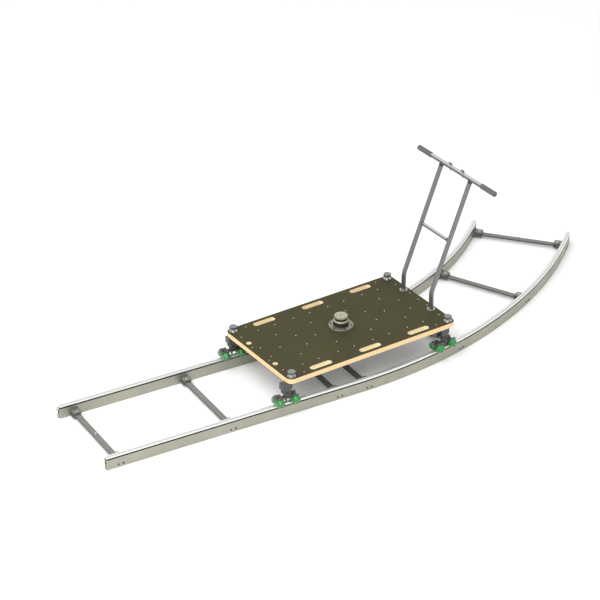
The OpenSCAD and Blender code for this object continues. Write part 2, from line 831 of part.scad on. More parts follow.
module mount_drum() {
    color([0.24, 0.24, 0.2]) deck_place() translate([0, 0, deck_top_z]) difference() {
        rotate_extrude($fn = 96) polygon([[0, flange_t], [drum_d / 2, flange_t],
            [drum_d / 2, drum_h], [drum_ring_d / 2, drum_h + drum_chamfer_h],
            [neck_d / 2, drum_h + drum_chamfer_h], [neck_d / 2, neck_h], [0, neck_h]]);
        translate([0, 0, neck_h - spindle_l - hole_spare])
            cylinder(h = spindle_l + hole_spare + cut, d = spindle_d + 2 * fit);
    }
}

// The disc that turns on the drum: shallow notches in its rim, three lines across it
module mount_top_disc() {
    color([0.78, 0.77, 0.69]) deck_place() translate([0, 0, deck_top_z]) difference() {
        union() {
            translate([0, 0, neck_h + face_gap]) rotate_extrude($fn = 96)
                rounded_profile(top_d / 2, top_h - neck_h - face_gap, small_edge);
            translate([0, 0, neck_h - spindle_l])
                cylinder(h = spindle_l + face_gap + cut, d = spindle_d);
        }
        for (a = notch_angles)
            rotate([0, 0, a]) translate([top_d / 2 + top_notch_out, 0, neck_h])
                cylinder(h = top_h, r = top_notch_r);
        for (a = line_angles)
            rotate([0, 0, a]) translate([-top_d, -top_line_w / 2, top_h - top_line_deep])
                cube([2 * top_d, top_line_w, top_line_deep + cut]);
        translate([0, 0, top_hole_low_z]) cylinder(h = top_h, d = top_hole_d);
    }
}

// Trucks. The side is -1 on the near rail and 1 on the far rail, the end is -1 at the left

function king_place(side, end) = on_deck(end * king_x, side * king_y);
function trail(side) = side < 0 ? trail_near : trail_far;
function truck_yaw(side, end) = end < 0 ? 0
    : curve_angle(king_place(side, end)) - asin(trail(side) / curve_dist(king_place(side, end)));
function rail_r(side) = curve_r - side * half_gauge;
function bogie_place(side, end) = end < 0 ? [king_place(side, end)[0] - trail(side), side * half_gauge]
    : [straight_len + rail_r(side) * sin(truck_yaw(side, end)),
        curve_r - rail_r(side) * cos(truck_yaw(side, end))];

module at_yoke(side, end) {
    place() translate(king_place(side, end)) rotate([0, 0, truck_yaw(side, end)]) children();
}

module at_bogie(side, end) {
    place() translate(bogie_place(side, end)) rotate([0, 0, truck_yaw(side, end)]) children();
}

// Corner knob: screws onto the kingpin's thread
module knob(side, end) {
    color([0.65, 0.65, 0.62]) at_yoke(side, end) translate([0, 0, knob_low_z]) difference() {
        rotate_extrude() rounded_profile(knob_d / 2, knob_h, knob_edge);
        for (i = [0 : knob_notches - 1])
            rotate([0, 0, i * 360 / knob_notches])
                translate([knob_d / 2 + knob_notch_r / 2, 0, -cut])
                cylinder(h = knob_h + 2 * cut, r = knob_notch_r);
        translate([0, 0, -cut])
            cylinder(h = knob_thread_l + hole_spare + cut, d = kingpin_thread_d + 2 * fit);
    }
}

module knob_near_left() { knob(-1, -1); }
module knob_far_left() { knob(1, -1); }
module knob_near_right() { knob(-1, 1); }
module knob_far_right() { knob(1, 1); }

// Yoke: top plate round the kingpin, block, two fork cheeks, kingpin and cross pin
module yoke(t, ears) {
    difference() {
        union() {
            translate([0, 0, yoke_low_z]) linear_extrude(height = yoke_plate_t) {
                circle(r = yoke_boss_r);
                translate([-t - yoke_w / 2, -yoke_half]) square([t + yoke_w / 2, 2 * yoke_half]);
            }
            translate([-t - yoke_w / 2, -yoke_half, fork_top_z])
                cube([yoke_w, 2 * yoke_half, yoke_low_z - fork_top_z]);
            for (s = [-1, 1]) scale_side(s)
                translate([-t, yoke_half, 0]) rotate([90, 0, 0]) linear_extrude(height = cheek_t) {
                    translate([0, pivot_z]) circle(r = cheek_r);
                    translate([-cheek_r, pivot_z]) square([cheek_w, fork_top_z - pivot_z + cut]);
                }
            if (ears) for (s = [-1, 1]) scale_side(s)
                translate([-t, lever_w / 2 + face_gap + ear_t, 0]) rotate([90, 0, 0])
                    linear_extrude(height = ear_t) {
                        translate([lever_x, lever_z]) circle(r = ear_r);
                        translate([lever_x, lever_z - ear_r])
                            square([-lever_x - yoke_w / 2 + cut, 2 * ear_r]);
                    }
        }
        translate([0, 0, yoke_low_z]) cylinder(h = yoke_plate_t + cut, d = kingpin_d + 2 * fit);
        translate([-t, -yoke_half - cut, pivot_z]) rotate([-90, 0, 0])
            cylinder(h = 2 * yoke_half + 2 * cut, d = pivot_d + 2 * fit);
        if (ears) translate([lever_x - t, -lever_w - ear_t, lever_z]) rotate([-90, 0, 0])
            cylinder(h = 2 * (lever_w + ear_t), d = lever_pin_d + 2 * fit);
    }
    translate([0, 0, yoke_low_z + fit])
        cylinder(h = knob_low_z - face_gap - yoke_low_z - fit, d = kingpin_d);
    translate([0, 0, knob_low_z - cut]) cylinder(h = knob_thread_l + cut, d = kingpin_thread_d);
    translate([-t, 0, pivot_z]) cross_pin();
    if (ears) translate([lever_x - t, -lever_w / 2 - face_gap - ear_t, lever_z]) rotate([-90, 0, 0])
        cylinder(h = lever_w + 2 * face_gap + 2 * ear_t, d = lever_pin_d);
}

module cross_pin() {
    translate([0, -yoke_half - fit, 0]) rotate([-90, 0, 0])
        cylinder(h = 2 * (yoke_half + fit), d = pivot_d);
    for (s = [-1, 1]) scale_side(s)
        translate([0, yoke_half + fit, 0]) rotate([-90, 0, 0]) rotate_extrude()
            rounded_profile(pivot_head_d / 2, pivot_head_t, small_edge);
}

module yoke_near_left() { color([0.37, 0.39, 0.39]) at_yoke(-1, -1) yoke(trail_near, false); }
module yoke_far_left() { color([0.37, 0.39, 0.39]) at_yoke(1, -1) yoke(trail_far, false); }
module yoke_near_right() { color([0.37, 0.39, 0.39]) at_yoke(-1, 1) yoke(trail_near, true); }
module yoke_far_right() { color([0.37, 0.39, 0.39]) at_yoke(1, 1) yoke(trail_far, false); }

// A place on the sloped plates' section: u up and out along a plate, w square to it
function slope(u, w) = [(u - w) * sin(45), web_h + (u + w) * sin(45)];
function mirrored(p) = [-p[0], p[1]];

// Frame of one wheel, from the rail's centre: the wheel turns about local z
module at_wheel(out, front) {
    translate([front * wheel_pitch / 2, 0, web_h]) rotate([45 * out, 0, 0])
        translate([0, out * contact_r, -wheel_slip]) children();
}

// Two sloped plates that meet in a valley over the rail
module sloped_plates(length, reach) {
    translate([-length / 2, 0, 0]) rotate([90, 0, 90]) linear_extrude(height = length)
        polygon([slope(plate_low, plate_low), slope(reach, plate_low), slope(reach, plate_high),
            slope(plate_high, plate_high), mirrored(slope(reach, plate_high)),
            mirrored(slope(reach, plate_low))]);
}

module bogie_frame() {
    valley_z = slope(plate_low, plate_low)[1];
    difference() {
        union() {
            sloped_plates(bogie_l, plate_reach - plate_cut);
            difference() {
                sloped_plates(bogie_l, plate_reach);
                translate([-plate_cut_l / 2, -plate_reach, web_h])
                    cube([plate_cut_l, 2 * plate_reach, 2 * plate_reach]);
            }
            translate([0, lug_t / 2, 0]) rotate([90, 0, 0]) linear_extrude(height = lug_t) {
                translate([0, pivot_z]) circle(r = lug_r);
                translate([-lug_r, valley_z + lug_t / 2])
                    square([2 * lug_r, pivot_z - valley_z - lug_t / 2]);
            }
            translate([-guide_w / 2, -guide_t / 2, web_h + head_r + guide_gap])
                cube([guide_w, guide_t, valley_z - web_h - head_r - guide_gap + guide_t]);
        }
        translate([0, -lug_t, pivot_z]) rotate([-90, 0, 0])
            cylinder(h = 2 * lug_t, d = pivot_d + 2 * pivot_play);
        for (out = [-1, 1])
            for (front = [-1, 1])
                at_wheel(out, front) translate([0, 0, wheel_w / 2])
                    cylinder(h = wheel_side_gap + plate_t + 2 * cut, d = axle_d + 2 * fit);
    }
}

module bogie_near_left() { color([0.42, 0.43, 0.42]) at_bogie(-1, -1) bogie_frame(); }
module bogie_far_left() { color([0.42, 0.43, 0.42]) at_bogie(1, -1) bogie_frame(); }
module bogie_near_right() { color([0.42, 0.43, 0.42]) at_bogie(-1, 1) bogie_frame(); }
module bogie_far_right() { color([0.42, 0.43, 0.42]) at_bogie(1, 1) bogie_frame(); }

// Four axle bolts, each with its head below the wheel and its nut on the plate
module axles(side, end) {
    nut_z = wheel_w / 2 + wheel_side_gap + plate_t;
    head_z = -wheel_w / 2 - axle_head_gap;
    color([0.3, 0.31, 0.31]) at_bogie(side, end)
        for (out = [-1, 1])
            for (front = [-1, 1])
                at_wheel(out, front) {
                    translate([0, 0, head_z])
                        cylinder(h = nut_z + axle_nut_t + axle_end - head_z, d = axle_d);
                    translate([0, 0, head_z - axle_head_t])
                        cylinder(h = axle_head_t, d = axle_head_d);
                    translate([0, 0, nut_z]) ring(axle_nut_t, axle_nut_d, axle_d + 2 * fit);
                }
}

module axles_near_left() { axles(-1, -1); }
module axles_far_left() { axles(1, -1); }
module axles_near_right() { axles(-1, 1); }
module axles_far_right() { axles(1, 1); }

// Wheel: soft tyre with a bearing pressed into each side
module wheel(side, end, out, front) {
    color([0.16, 0.56, 0.28]) at_bogie(side, end) at_wheel(out, front) {
        rotate_extrude() difference() {
            union() {
                translate([0, -wheel_w / 2]) square([wheel_d / 2 - wheel_edge_r, wheel_w]);
                translate([0, wheel_edge_r - wheel_w / 2])
                    square([wheel_d / 2, wheel_w - 2 * wheel_edge_r]);
                for (s = [-1, 1])
                    translate([wheel_d / 2 - wheel_edge_r, s * (wheel_w / 2 - wheel_edge_r)])
                        circle(r = wheel_edge_r);
            }
            translate([0, -wheel_w]) square([bearing_d / 2 - bearing_step, 2 * wheel_w]);
            for (z = [-wheel_w / 2 - cut, wheel_w / 2 - bearing_w])
                translate([0, z]) square([bearing_d / 2, bearing_w + cut]);
        }
        for (z = [-wheel_w / 2, wheel_w / 2 - bearing_w])
            translate([0, 0, z]) ring(bearing_w, bearing_d - 2 * fit, axle_d + 2 * fit);
    }
}

module wheel_near_left_rear_out() { wheel(-1, -1, -1, -1); }
module wheel_near_left_rear_in() { wheel(-1, -1, 1, -1); }
module wheel_near_left_front_out() { wheel(-1, -1, -1, 1); }
module wheel_near_left_front_in() { wheel(-1, -1, 1, 1); }
module wheel_far_left_rear_out() { wheel(1, -1, 1, -1); }
module wheel_far_left_rear_in() { wheel(1, -1, -1, -1); }
module wheel_far_left_front_out() { wheel(1, -1, 1, 1); }
module wheel_far_left_front_in() { wheel(1, -1, -1, 1); }
module wheel_near_right_rear_out() { wheel(-1, 1, -1, -1); }
module wheel_near_right_rear_in() { wheel(-1, 1, 1, -1); }
module wheel_near_right_front_out() { wheel(-1, 1, -1, 1); }
module wheel_near_right_front_in() { wheel(-1, 1, 1, 1); }
module wheel_far_right_rear_out() { wheel(1, 1, 1, -1); }
module wheel_far_right_rear_in() { wheel(1, 1, -1, -1); }
module wheel_far_right_front_out() { wheel(1, 1, 1, 1); }
module wheel_far_right_front_in() { wheel(1, 1, -1, 1); }

// Brake lever: turns on a pin between the ears behind the near right yoke
module brake_lever() {
    tip_r = lever_w / 2;
    color([0.3, 0.31, 0.31]) at_yoke(-1, 1) translate([lever_x - trail_near, 0, lever_z])
        rotate([0, lever_angle, 0]) difference() {
            translate([0, lever_w / 2, 0]) rotate([90, 0, 0]) union() {
                cylinder(h = lever_w, r = ear_r);
                linear_extrude(height = lever_w)
                    polygon([[0, ear_r], [0, -ear_r], [-lever_l, -tip_r], [-lever_l, tip_r]]);
                translate([-lever_l, 0, 0]) cylinder(h = lever_w, r = tip_r);
            }
            translate([0, -lever_w, 0]) rotate([-90, 0, 0])
                cylinder(h = 2 * lever_w, d = lever_pin_d + 2 * fit);
        }
}

// Push bar

module at_post(s) {
    deck_place() translate([post_hole_x, s * post_y, 0]) children();
}

// Frame on the slanted part of a post: local z runs up the slant from the bend's corner
module on_slant() {
    translate([0, 0, post_bend_z]) rotate([0, post_slant, 0]) children();
}

// One bent tube of radius r; the bend is a hair thicker, as where a real tube is bent
module post_tube(r, extra) {
    straight_h = post_bend_z - bend_reach - post_low_z;
    slant_h = post_run - bar_d / 2 - saddle_l - bend_reach;
    translate([0, 0, post_low_z - extra]) cylinder(h = straight_h + extra, r = r);
    translate([post_bend_r, 0, post_bend_z - bend_reach]) rotate([90, 0, 0])
        rotate([0, 0, 180 - post_slant - bend_over])
        rotate_extrude(angle = post_slant + 2 * bend_over, $fn = 96)
        translate([post_bend_r, 0]) circle(r = r + bend_swell);
    on_slant() translate([0, 0, bend_reach]) cylinder(h = slant_h + extra, r = r);
}

module push_bar_posts() {
    color([0.5, 0.5, 0.5]) for (s = [-1, 1]) at_post(s) difference() {
        union() post_tube(post_d / 2, 0);
        union() post_tube(post_d / 2 - tube_wall, cut);
    }
}

module push_bar_brace() {
    brace_l = 2 * post_y - post_d - 2 * collar_l;
    color([0.5, 0.5, 0.5]) deck_place() translate([brace_x, -brace_l / 2, brace_z]) rotate([-90, 0, 0])
        difference() {
            cylinder(h = brace_l, d = brace_d);
            translate([0, 0, -cut]) cylinder(h = brace_l + 2 * cut, d = brace_d - 2 * tube_wall);
        }
}

// Saddle at the end of a tube along local z: its spigot plugs into the tube, its mouth is
// hollowed to lie on a crossing tube along local y, with lips that end short of that axis
module saddle(tube_d, crossing_d, l) {
    difference() {
        translate([0, 0, -crossing_d / 2 - l]) cylinder(h = crossing_d / 4 + l, d = tube_d);
        translate([0, crossing_d, 0]) rotate([90, 0, 0])
            cylinder(h = 2 * crossing_d, d = crossing_d + 2 * fit);
    }
    translate([0, 0, -crossing_d / 2 - l - spigot_l])
        cylinder(h = spigot_l + cut, d = tube_d - 2 * tube_wall - 2 * fit);
}

module push_bar_fittings() {
    brace_run = (brace_z - post_bend_z) / cos(post_slant);
    color([0.2, 0.2, 0.2]) for (s = [-1, 1]) at_post(s) on_slant() {
        translate([0, 0, post_run]) saddle(post_d, bar_d, saddle_l);
        translate([0, 0, brace_run]) rotate([-s * 90, 0, 0]) saddle(brace_d, post_d, collar_l);
    }
}

module handlebar() {
    tube_l = bar_l - 2 * grip_end;
    color([0.55, 0.55, 0.55]) deck_place() translate([bar_x, 0, bar_z]) difference() {
        translate([0, -tube_l / 2, 0]) rotate([-90, 0, 0]) cylinder(h = tube_l, d = bar_d);
        translate([0, -tube_l / 2 - cut, 0]) rotate([-90, 0, 0])
            cylinder(h = tube_l + 2 * cut, d = bar_d - 2 * tube_wall);
        for (y = [-wing_y, wing_y])
            translate([0, y, -bar_d]) cylinder(h = 2 * bar_d, d = wing_d + 2 * fit);
    }
}

module handlebar_grips() {
    color([0.2, 0.2, 0.2]) deck_place() for (s = [-1, 1]) scale_side(s)
        translate([bar_x, bar_l / 2 - grip_l, bar_z]) rotate([-90, 0, 0]) difference() {
            rotate_extrude() rounded_profile(grip_d / 2, grip_l, grip_edge);
            translate([0, 0, -cut]) cylinder(h = grip_l - grip_end + cut, d = bar_d + 2 * fit);
        }
}

// Wing screw: shank, hub and two wings, upright through the handlebar
module wing_screw(s) {
    hub_z = bar_d / 2 + face_gap;
    color([0.25, 0.25, 0.25]) deck_place() translate([bar_x, s * wing_y, bar_z]) {
        translate([0, 0, -wing_down]) cylinder(h = wing_down + hub_z + cut, d = wing_d);
        translate([0, 0, hub_z]) cylinder(h = wing_hub_h, d = wing_hub_d);
        intersection() {
            translate([-wing_t / 2, 0, hub_z + wing_hub_h]) rotate([0, 90, 0])
                cylinder(h = wing_t, d = wing_span);
            translate([-wing_span, -wing_span, hub_z + wing_hub_h / 2])
                cube([2 * wing_span, 2 * wing_span, wing_h]);
        }
    }
}

module wing_screw_near() { wing_screw(-1); }
module wing_screw_far() { wing_screw(1); }

rail_straight_near();
rail_straight_far();
rail_curved_near();
rail_curved_far();
straight_ties();
curved_ties();
tie_brackets();
tie_pins();
rail_screws();
rail_dowels();
tie_plunger_left();
tie_plunger_right();
deck_board();
deck_inserts();
deck_washers();
push_bar_sockets();
mount_flange();
mount_flange_screws();
mount_drum();
mount_top_disc();
knob_near_left();
knob_far_left();
knob_near_right();
knob_far_right();
yoke_near_left();
yoke_far_left();
yoke_near_right();
yoke_far_right();
bogie_near_left();
bogie_far_left();
bogie_near_right();
bogie_far_right();
axles_near_left();
axles_far_left();
axles_near_right();
axles_far_right();
wheel_near_left_rear_out();
wheel_near_left_rear_in();
wheel_near_left_front_out();
wheel_near_left_front_in();
wheel_far_left_rear_out();
wheel_far_left_rear_in();
wheel_far_left_front_out();
wheel_far_left_front_in();
wheel_near_right_rear_out();
wheel_near_right_rear_in();
wheel_near_right_front_out();
wheel_near_right_front_in();
wheel_far_right_rear_out();
wheel_far_right_rear_in();
wheel_far_right_front_out();
wheel_far_right_front_in();
brake_lever();
push_bar_posts();
push_bar_brace();
push_bar_fittings();
handlebar();
handlebar_grips();
wing_screw_near();
wing_screw_far();
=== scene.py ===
import math

import bpy
from mathutils import Matrix, Vector


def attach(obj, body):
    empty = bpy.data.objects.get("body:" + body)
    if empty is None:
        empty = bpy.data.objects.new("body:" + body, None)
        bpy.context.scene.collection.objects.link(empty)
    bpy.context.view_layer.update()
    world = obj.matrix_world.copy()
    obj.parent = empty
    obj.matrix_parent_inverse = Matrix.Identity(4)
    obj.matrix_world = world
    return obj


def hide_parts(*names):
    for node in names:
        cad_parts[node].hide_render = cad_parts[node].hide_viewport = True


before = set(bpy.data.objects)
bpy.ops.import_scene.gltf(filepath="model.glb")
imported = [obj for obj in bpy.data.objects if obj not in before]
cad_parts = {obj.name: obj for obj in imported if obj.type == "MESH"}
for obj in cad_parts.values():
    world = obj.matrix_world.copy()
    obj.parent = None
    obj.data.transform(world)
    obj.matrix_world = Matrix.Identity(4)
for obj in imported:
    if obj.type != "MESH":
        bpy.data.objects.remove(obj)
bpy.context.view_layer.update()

# Sizes of the track and the dolly in millimetres, which follow the part's source

HALF_GAUGE = 310
STRAIGHT_LEN = 1620
CURVE_R = 2735
CURVE_TURN = 45
WEB_W = 28
WEB_H = 73
HEAD_R = 15
HEAD_LOW_Z = 74.5
GROOVE_LOW_Z = 64.5
CHANNELS_Z = (20, 62)
DOWEL_OUT = 15
DOWEL_HELD_L = 31
DOWEL_R = 8
DOWEL_FREE_R = 7.5
SET_SCREW_IN = 22
STRAIGHT_TIES = (89, 809, 1520)
CURVED_TIES = (1.94, 15.54, 29.14, 43.4)
TIE_TOP_Z = 31
TIE_T = 11
TIE_PIN_Y = 260
PLUNGER_TRAVEL = 8
SCREW_X = 15.5
SCREW_Z = 19
DECK_TOP_Z = 246.7
DECK_T = 30
DECK_L = 1204
DECK_W = 689
DECK_CORNER_R = 38
TWO_PLIES = 2.8
INSERT_RINGS_X = (-378.5, -125.4, 125.4, 378.5)
INSERT_RINGS_Y = 200.5
INSERT_RING_R = 67.6
INSERT_FROM_KING = 88
INSERT_FROM_END = 28.4
INSERT_END_Y = 88.5
INSERT_GROUPS_X = (-538, 218.7)
INSERT_GROUP_Y = 58
INSERT_GROUP_PAIRS = (0, 252)
INSERT_GROUP_MIDDLES = (101, 353)
INSERT_R = 5
INSERT_L = 20
FLANGE_R = 75
FLANGE_T = 12
FLANGE_SCREWS_R = 64
DRUM_R = 47
NECK_R = 35.5
NECK_H = 63
DISC_TOP = 76
DOLLY_X = 1177.8
WHEELBASE = 1129
KING_Y = HALF_GAUGE
KINGPIN_R = 12
CROSSPIN_Z = 154
CROSSPIN_HEAD_R = 10
CROSSPIN_HEADS_Y = 22
KINGPIN_SHOWS_Z = 204
WASHER_R = 25
WASHER_T = 4
THRUST_WASHER_T = 2
KNOB_LIFT = 20
KNOB_R = 24.5
TRAILS = {"near": 38, "far": 12}
WHEEL_PITCH = 104
WHEEL_D = 50
WHEEL_W = 38
WHEEL_EDGE = 9
WHEEL_SLIP = -0.5
WHEEL_GAP = 1.9
PLATE_T = 6
CONTACT_R = HEAD_R + 0.5 + WHEEL_D / 2
POST_X = 565.5
POST_Y = 140.5
POST_BEND_Z = 365
POST_SLANT = 21.5
SOCKET_R = 15.9
SOCKET_RIM_R = 25
BAR_Z = 1048
BAR_HALF_L = 375
GRIP_L = 128
GRIP_R = 16.5
TUBE_FIT_R = 14.1
BAR_X = POST_X + (BAR_Z - POST_BEND_Z) * math.tan(math.radians(POST_SLANT))
TRUCK_SIDES = {"near": -1, "far": 1}
TRUCK_ENDS = {"left": -1, "right": 1}

# Merging a CAD copy: metres between doubled points, and degrees between flat neighbours

MERGE_WITHIN = 0.000004
FLAT_WITHIN = 0.6

# The camera's place and target in the same millimetres, and its lens

CAMERA_PLACE = (-4992.8, -11250.7, 8011.9)
CAMERA_TARGET = (1893.7, 804.1, 0)
CAMERA_LENS = 153.39
CAMERA_SENSOR = 36


# Frames: where a piece that is modelled about its own origin, in millimetres, belongs


def turn(degrees, axis):
    """A rotation about an axis through the origin."""
    return Matrix.Rotation(math.radians(degrees), 4, axis)


def move(x, y, z):
    return Matrix.Translation((x, y, z))


def middle_of_box():
    """The middle of the box round the whole object, which is the row's origin."""
    side = (WHEEL_W / 2 + WHEEL_D / 2 - 2 * WHEEL_EDGE) * math.sin(math.radians(45)) + WHEEL_EDGE
    left = -DOWEL_OUT
    right = STRAIGHT_LEN + (CURVE_R + HALF_GAUGE + HEAD_R) * math.sin(math.radians(CURVE_TURN))
    near = -HALF_GAUGE - (CONTACT_R + WHEEL_SLIP) * math.sin(math.radians(45)) - side
    far = CURVE_R - (CURVE_R - HALF_GAUGE - HEAD_R) * math.cos(math.radians(CURVE_TURN))
    return (left + right) / 2, (near + far) / 2


def deck_turn():
    """The rear kingpins stand over the straight, the front ones over the curve."""
    behind = DOLLY_X - STRAIGHT_LEN
    a = 2 * behind * WHEELBASE
    b = 2 * WHEELBASE * CURVE_R
    c = -(behind**2 + WHEELBASE**2)
    return math.acos(c / math.hypot(a, b)) - math.atan2(b, a)


MIDDLE = middle_of_box()
ROW = Matrix.Scale(0.001, 4) @ move(-MIDDLE[0], -MIDDLE[1], 0)
DECK_YAW = deck_turn()
DECK_X = DOLLY_X + WHEELBASE / 2 * math.cos(DECK_YAW)
DECK_Y = WHEELBASE / 2 * math.sin(DECK_YAW)
DECK = ROW @ move(DECK_X, DECK_Y, 0) @ turn(math.degrees(DECK_YAW), "Z")


def on_straight(x):
    """The track's middle on the ground, so far along the straight section."""
    return ROW @ move(x, 0, 0)


def on_curve(angle):
    """The track's middle on the ground, so many degrees round the curved section."""
    return ROW @ move(STRAIGHT_LEN, CURVE_R, 0) @ turn(angle, "Z") @ move(0, -CURVE_R, 0)


def tie_frames():
    return [on_straight(x) for x in STRAIGHT_TIES] + [on_curve(a) for a in CURVED_TIES]


def kingpin(side, end):
    """A kingpin's place on the track, in millimetres."""
    x = TRUCK_ENDS[end] * WHEELBASE / 2
    y = TRUCK_SIDES[side] * KING_Y
    return (
        DECK_X + x * math.cos(DECK_YAW) - y * math.sin(DECK_YAW),
        DECK_Y + x * math.sin(DECK_YAW) + y * math.cos(DECK_YAW),
    )


def truck_turn(side, end):
    """The turn of a truck about its kingpin: along the rail below it."""
    if end == "left":
        return 0
    x, y = kingpin(side, end)
    along = math.atan2(x - STRAIGHT_LEN, CURVE_R - y)
    out = math.hypot(x - STRAIGHT_LEN, CURVE_R - y)
    return math.degrees(along - math.asin(TRAILS[side] / out))


def yoke_frame(side, end):
    x, y = kingpin(side, end)
    return ROW @ move(x, y, 0) @ turn(truck_turn(side, end), "Z")


def bogie_frame(side, end):
    angle = truck_turn(side, end)
    if end == "left":
        x, y = kingpin(side, end)[0] - TRAILS[side], TRUCK_SIDES[side] * HALF_GAUGE
    else:
        rail_r = CURVE_R - TRUCK_SIDES[side] * HALF_GAUGE
        x = STRAIGHT_LEN + rail_r * math.sin(math.radians(angle))
        y = CURVE_R - rail_r * math.cos(math.radians(angle))
    return ROW @ move(x, y, 0) @ turn(angle, "Z")


def wheel_frame(side, end, out, front):
    """A wheel turns about its frame's z, which rises to its plate. out is -1 or 1 along y."""
    lean = turn(45 * out, "X") @ move(0, out * CONTACT_R, -WHEEL_SLIP)
    return bogie_frame(side, end) @ move(front * WHEEL_PITCH / 2, 0, WEB_H) @ lean


# Materials: shader maths written as expressions


class Tone:
    """A socket of a material's nodes. Arithmetic on it adds the Math nodes."""

    def __init__(self, finish, socket):
        self.finish = finish
        self.socket = socket

    def maths(self, operation, *values):
        inputs = {number: value for number, value in enumerate(values)}
        return self.finish.node("ShaderNodeMath", {"operation": operation}, inputs)

    def __add__(self, other):
        return self.maths("ADD", self, other)

    def __radd__(self, other):
        return self.maths("ADD", other, self)

    def __sub__(self, other):
        return self.maths("SUBTRACT", self, other)

    def __rsub__(self, other):
        return self.maths("SUBTRACT", other, self)

    def __mul__(self, other):
        return self.maths("MULTIPLY", self, other)

    def __rmul__(self, other):
        return self.maths("MULTIPLY", other, self)

    def __gt__(self, other):
        return self.maths("GREATER_THAN", self, other)

    def __lt__(self, other):
        return self.maths("LESS_THAN", self, other)


class Finish:
    """A material with its one shader. Constant values sit on the shader's own sockets."""

    def __init__(self, name, **constants):
        self.material = bpy.data.materials.new(name)
        self.material.use_nodes = True
        self.tree = self.material.node_tree
        self.shader = self.tree.nodes["Principled BSDF"]
        for socket, value in constants.items():
            self.shader.inputs[socket.replace("_", " ")].default_value = value
        self.places = self.node("ShaderNodeTexCoord", output="Object")

    def node(self, kind, settings=None, inputs=None, output=0):
        """Adds a node: its settings first, then the values or links of its sockets."""
        node = self.tree.nodes.new(kind)
        for name, value in (settings or {}).items():
            if name == "stops":
                for element, (position, colour) in zip(node.color_ramp.elements, value):
                    element.position = position
                    element.color = colour
            else:
                setattr(node, name, value)
        for name, value in (inputs or {}).items():
            if isinstance(value, Tone):
                self.tree.links.new(value.socket, node.inputs[name])
            else:
                node.inputs[name].default_value = value
        return Tone(self, node.outputs[output])

    def stretched(self, scale):
        """Object coordinates in metres, each axis times its scale."""
        inputs = {"Vector": self.places, "Scale": scale}
        return self.node("ShaderNodeMapping", None, inputs)

    def axis(self, name):
        """One coordinate of the place, in metres."""
        return self.node("ShaderNodeSeparateXYZ", None, {0: self.places}, output=name)

    def upward(self):
        """How far the surface faces up: 1 on a flat top, 0 on a wall."""
        normal = self.node("ShaderNodeNewGeometry", output="Normal")
        return self.node("ShaderNodeSeparateXYZ", None, {0: normal}, output="Z")

    def noise(self, scale, detail=3.0, roughness=0.55, vector=None):
        inputs = {
            "Vector": vector or self.places,
            "Scale": scale,
            "Detail": detail,
            "Roughness": roughness,
        }
        return self.node("ShaderNodeTexNoise", None, inputs)

    def ramp(self, tone, low, high):
        """0 below low, 1 above high."""
        settings = {"stops": [(low, (0, 0, 0, 1)), (high, (1, 1, 1, 1))]}
        return self.node("ShaderNodeValToRGB", settings, {0: tone})

    def mixed(self, mask, first, second):
        """The first colour where the mask is 0, the second where it is 1."""
        inputs = {"Factor": mask, 6: first, 7: second}
        return self.node("ShaderNodeMix", {"data_type": "RGBA"}, inputs, output=2)

    def feed(self, **sockets):
        for socket, value in sockets.items():
            self.tree.links.new(value.socket, self.shader.inputs[socket.replace("_", " ")])

    def bump(self, height, strength, distance):
        inputs = {"Strength": strength, "Distance": distance, "Height": height}
        self.feed(Normal=self.node("ShaderNodeBump", None, inputs))


def tint(red, green, blue):
    """A colour as it is seen on a screen, 0 to 255, in the shader's linear terms."""
    parts = [red / 255, green / 255, blue / 255]
    return (*[c / 12.92 if c < 0.04 else ((c + 0.055) / 1.055) ** 2.4 for c in parts], 1)


def rail_aluminium():
    """Extruded rail: a dull web, a recess below the head painted dark as shade, and a bright head
    with two thin dark rings beside its crown, painted as reflections."""
    f = Finish("rail_aluminium", Metallic=0.8)
    lines = f.noise(1.0, 4.0, 0.7, f.stretched((1.2, 1.2, 1500)))
    stains = f.ramp(f.noise(5.5, 6.0, 0.62), 0.35, 0.75)
    height = f.axis("Z")
    head = height > HEAD_LOW_Z / 1000
    groove_shade = (height > GROOVE_LOW_Z / 1000) * (height < HEAD_LOW_Z / 1000)
    web = f.mixed(stains, tint(173, 172, 158), tint(162, 161, 148))
    # Painted shade: the band below the overhanging head is painted near black.
    web = f.mixed(groove_shade, web, tint(40, 40, 38))
    # Painted reflections: two thin rings on the head, beside its crown, are painted dark.
    edge = (f.upward() > 0.8) * (f.upward() < 0.88)
    bright = f.mixed(edge, tint(248, 248, 246), tint(128, 128, 125))
    f.feed(Base_Color=f.mixed(head, web, bright))
    f.feed(Roughness=0.46 + lines * 0.12 - head * 0.2)
    f.bump(lines, 0.05, 0.0004)
    return f.material


def tie_paint():
    """Grey painted steel with painted shade on its sides, chipped darker in small spots."""
    f = Finish("tie_paint", Metallic=0.1)
    cloud = f.noise(9.0, 5.0)
    chips = f.ramp(f.noise(160.0, 4.0, 0.7), 0.66, 0.7)
    coat_and_side_shade = f.mixed(cloud, tint(112, 113, 107), tint(134, 135, 128))
    # Painted shade: faces that don't face up are painted darker.
    coat_and_side_shade = f.mixed(f.upward() < 0.4, coat_and_side_shade, tint(82, 83, 82))
    f.feed(Base_Color=f.mixed(chips, coat_and_side_shade, tint(84, 84, 82)))
    f.feed(Roughness=0.5 + cloud * 0.2)
    f.bump(f.noise(700.0, 2.0), 0.12, 0.0003)
    return f.material


def bracket_iron():
    """Cast iron brackets, grainy and rubbed paler in patches."""
    f = Finish("bracket_iron", Metallic=0.35)
    grain = f.noise(900.0, 3.0)
    wear = f.ramp(f.noise(45.0, 5.0, 0.7), 0.56, 0.72)
    f.feed(Base_Color=f.mixed(wear, tint(112, 114, 114), tint(140, 140, 137)))
    f.feed(Roughness=0.45 + grain * 0.2)
    f.bump(grain, 0.2, 0.0003)
    return f.material


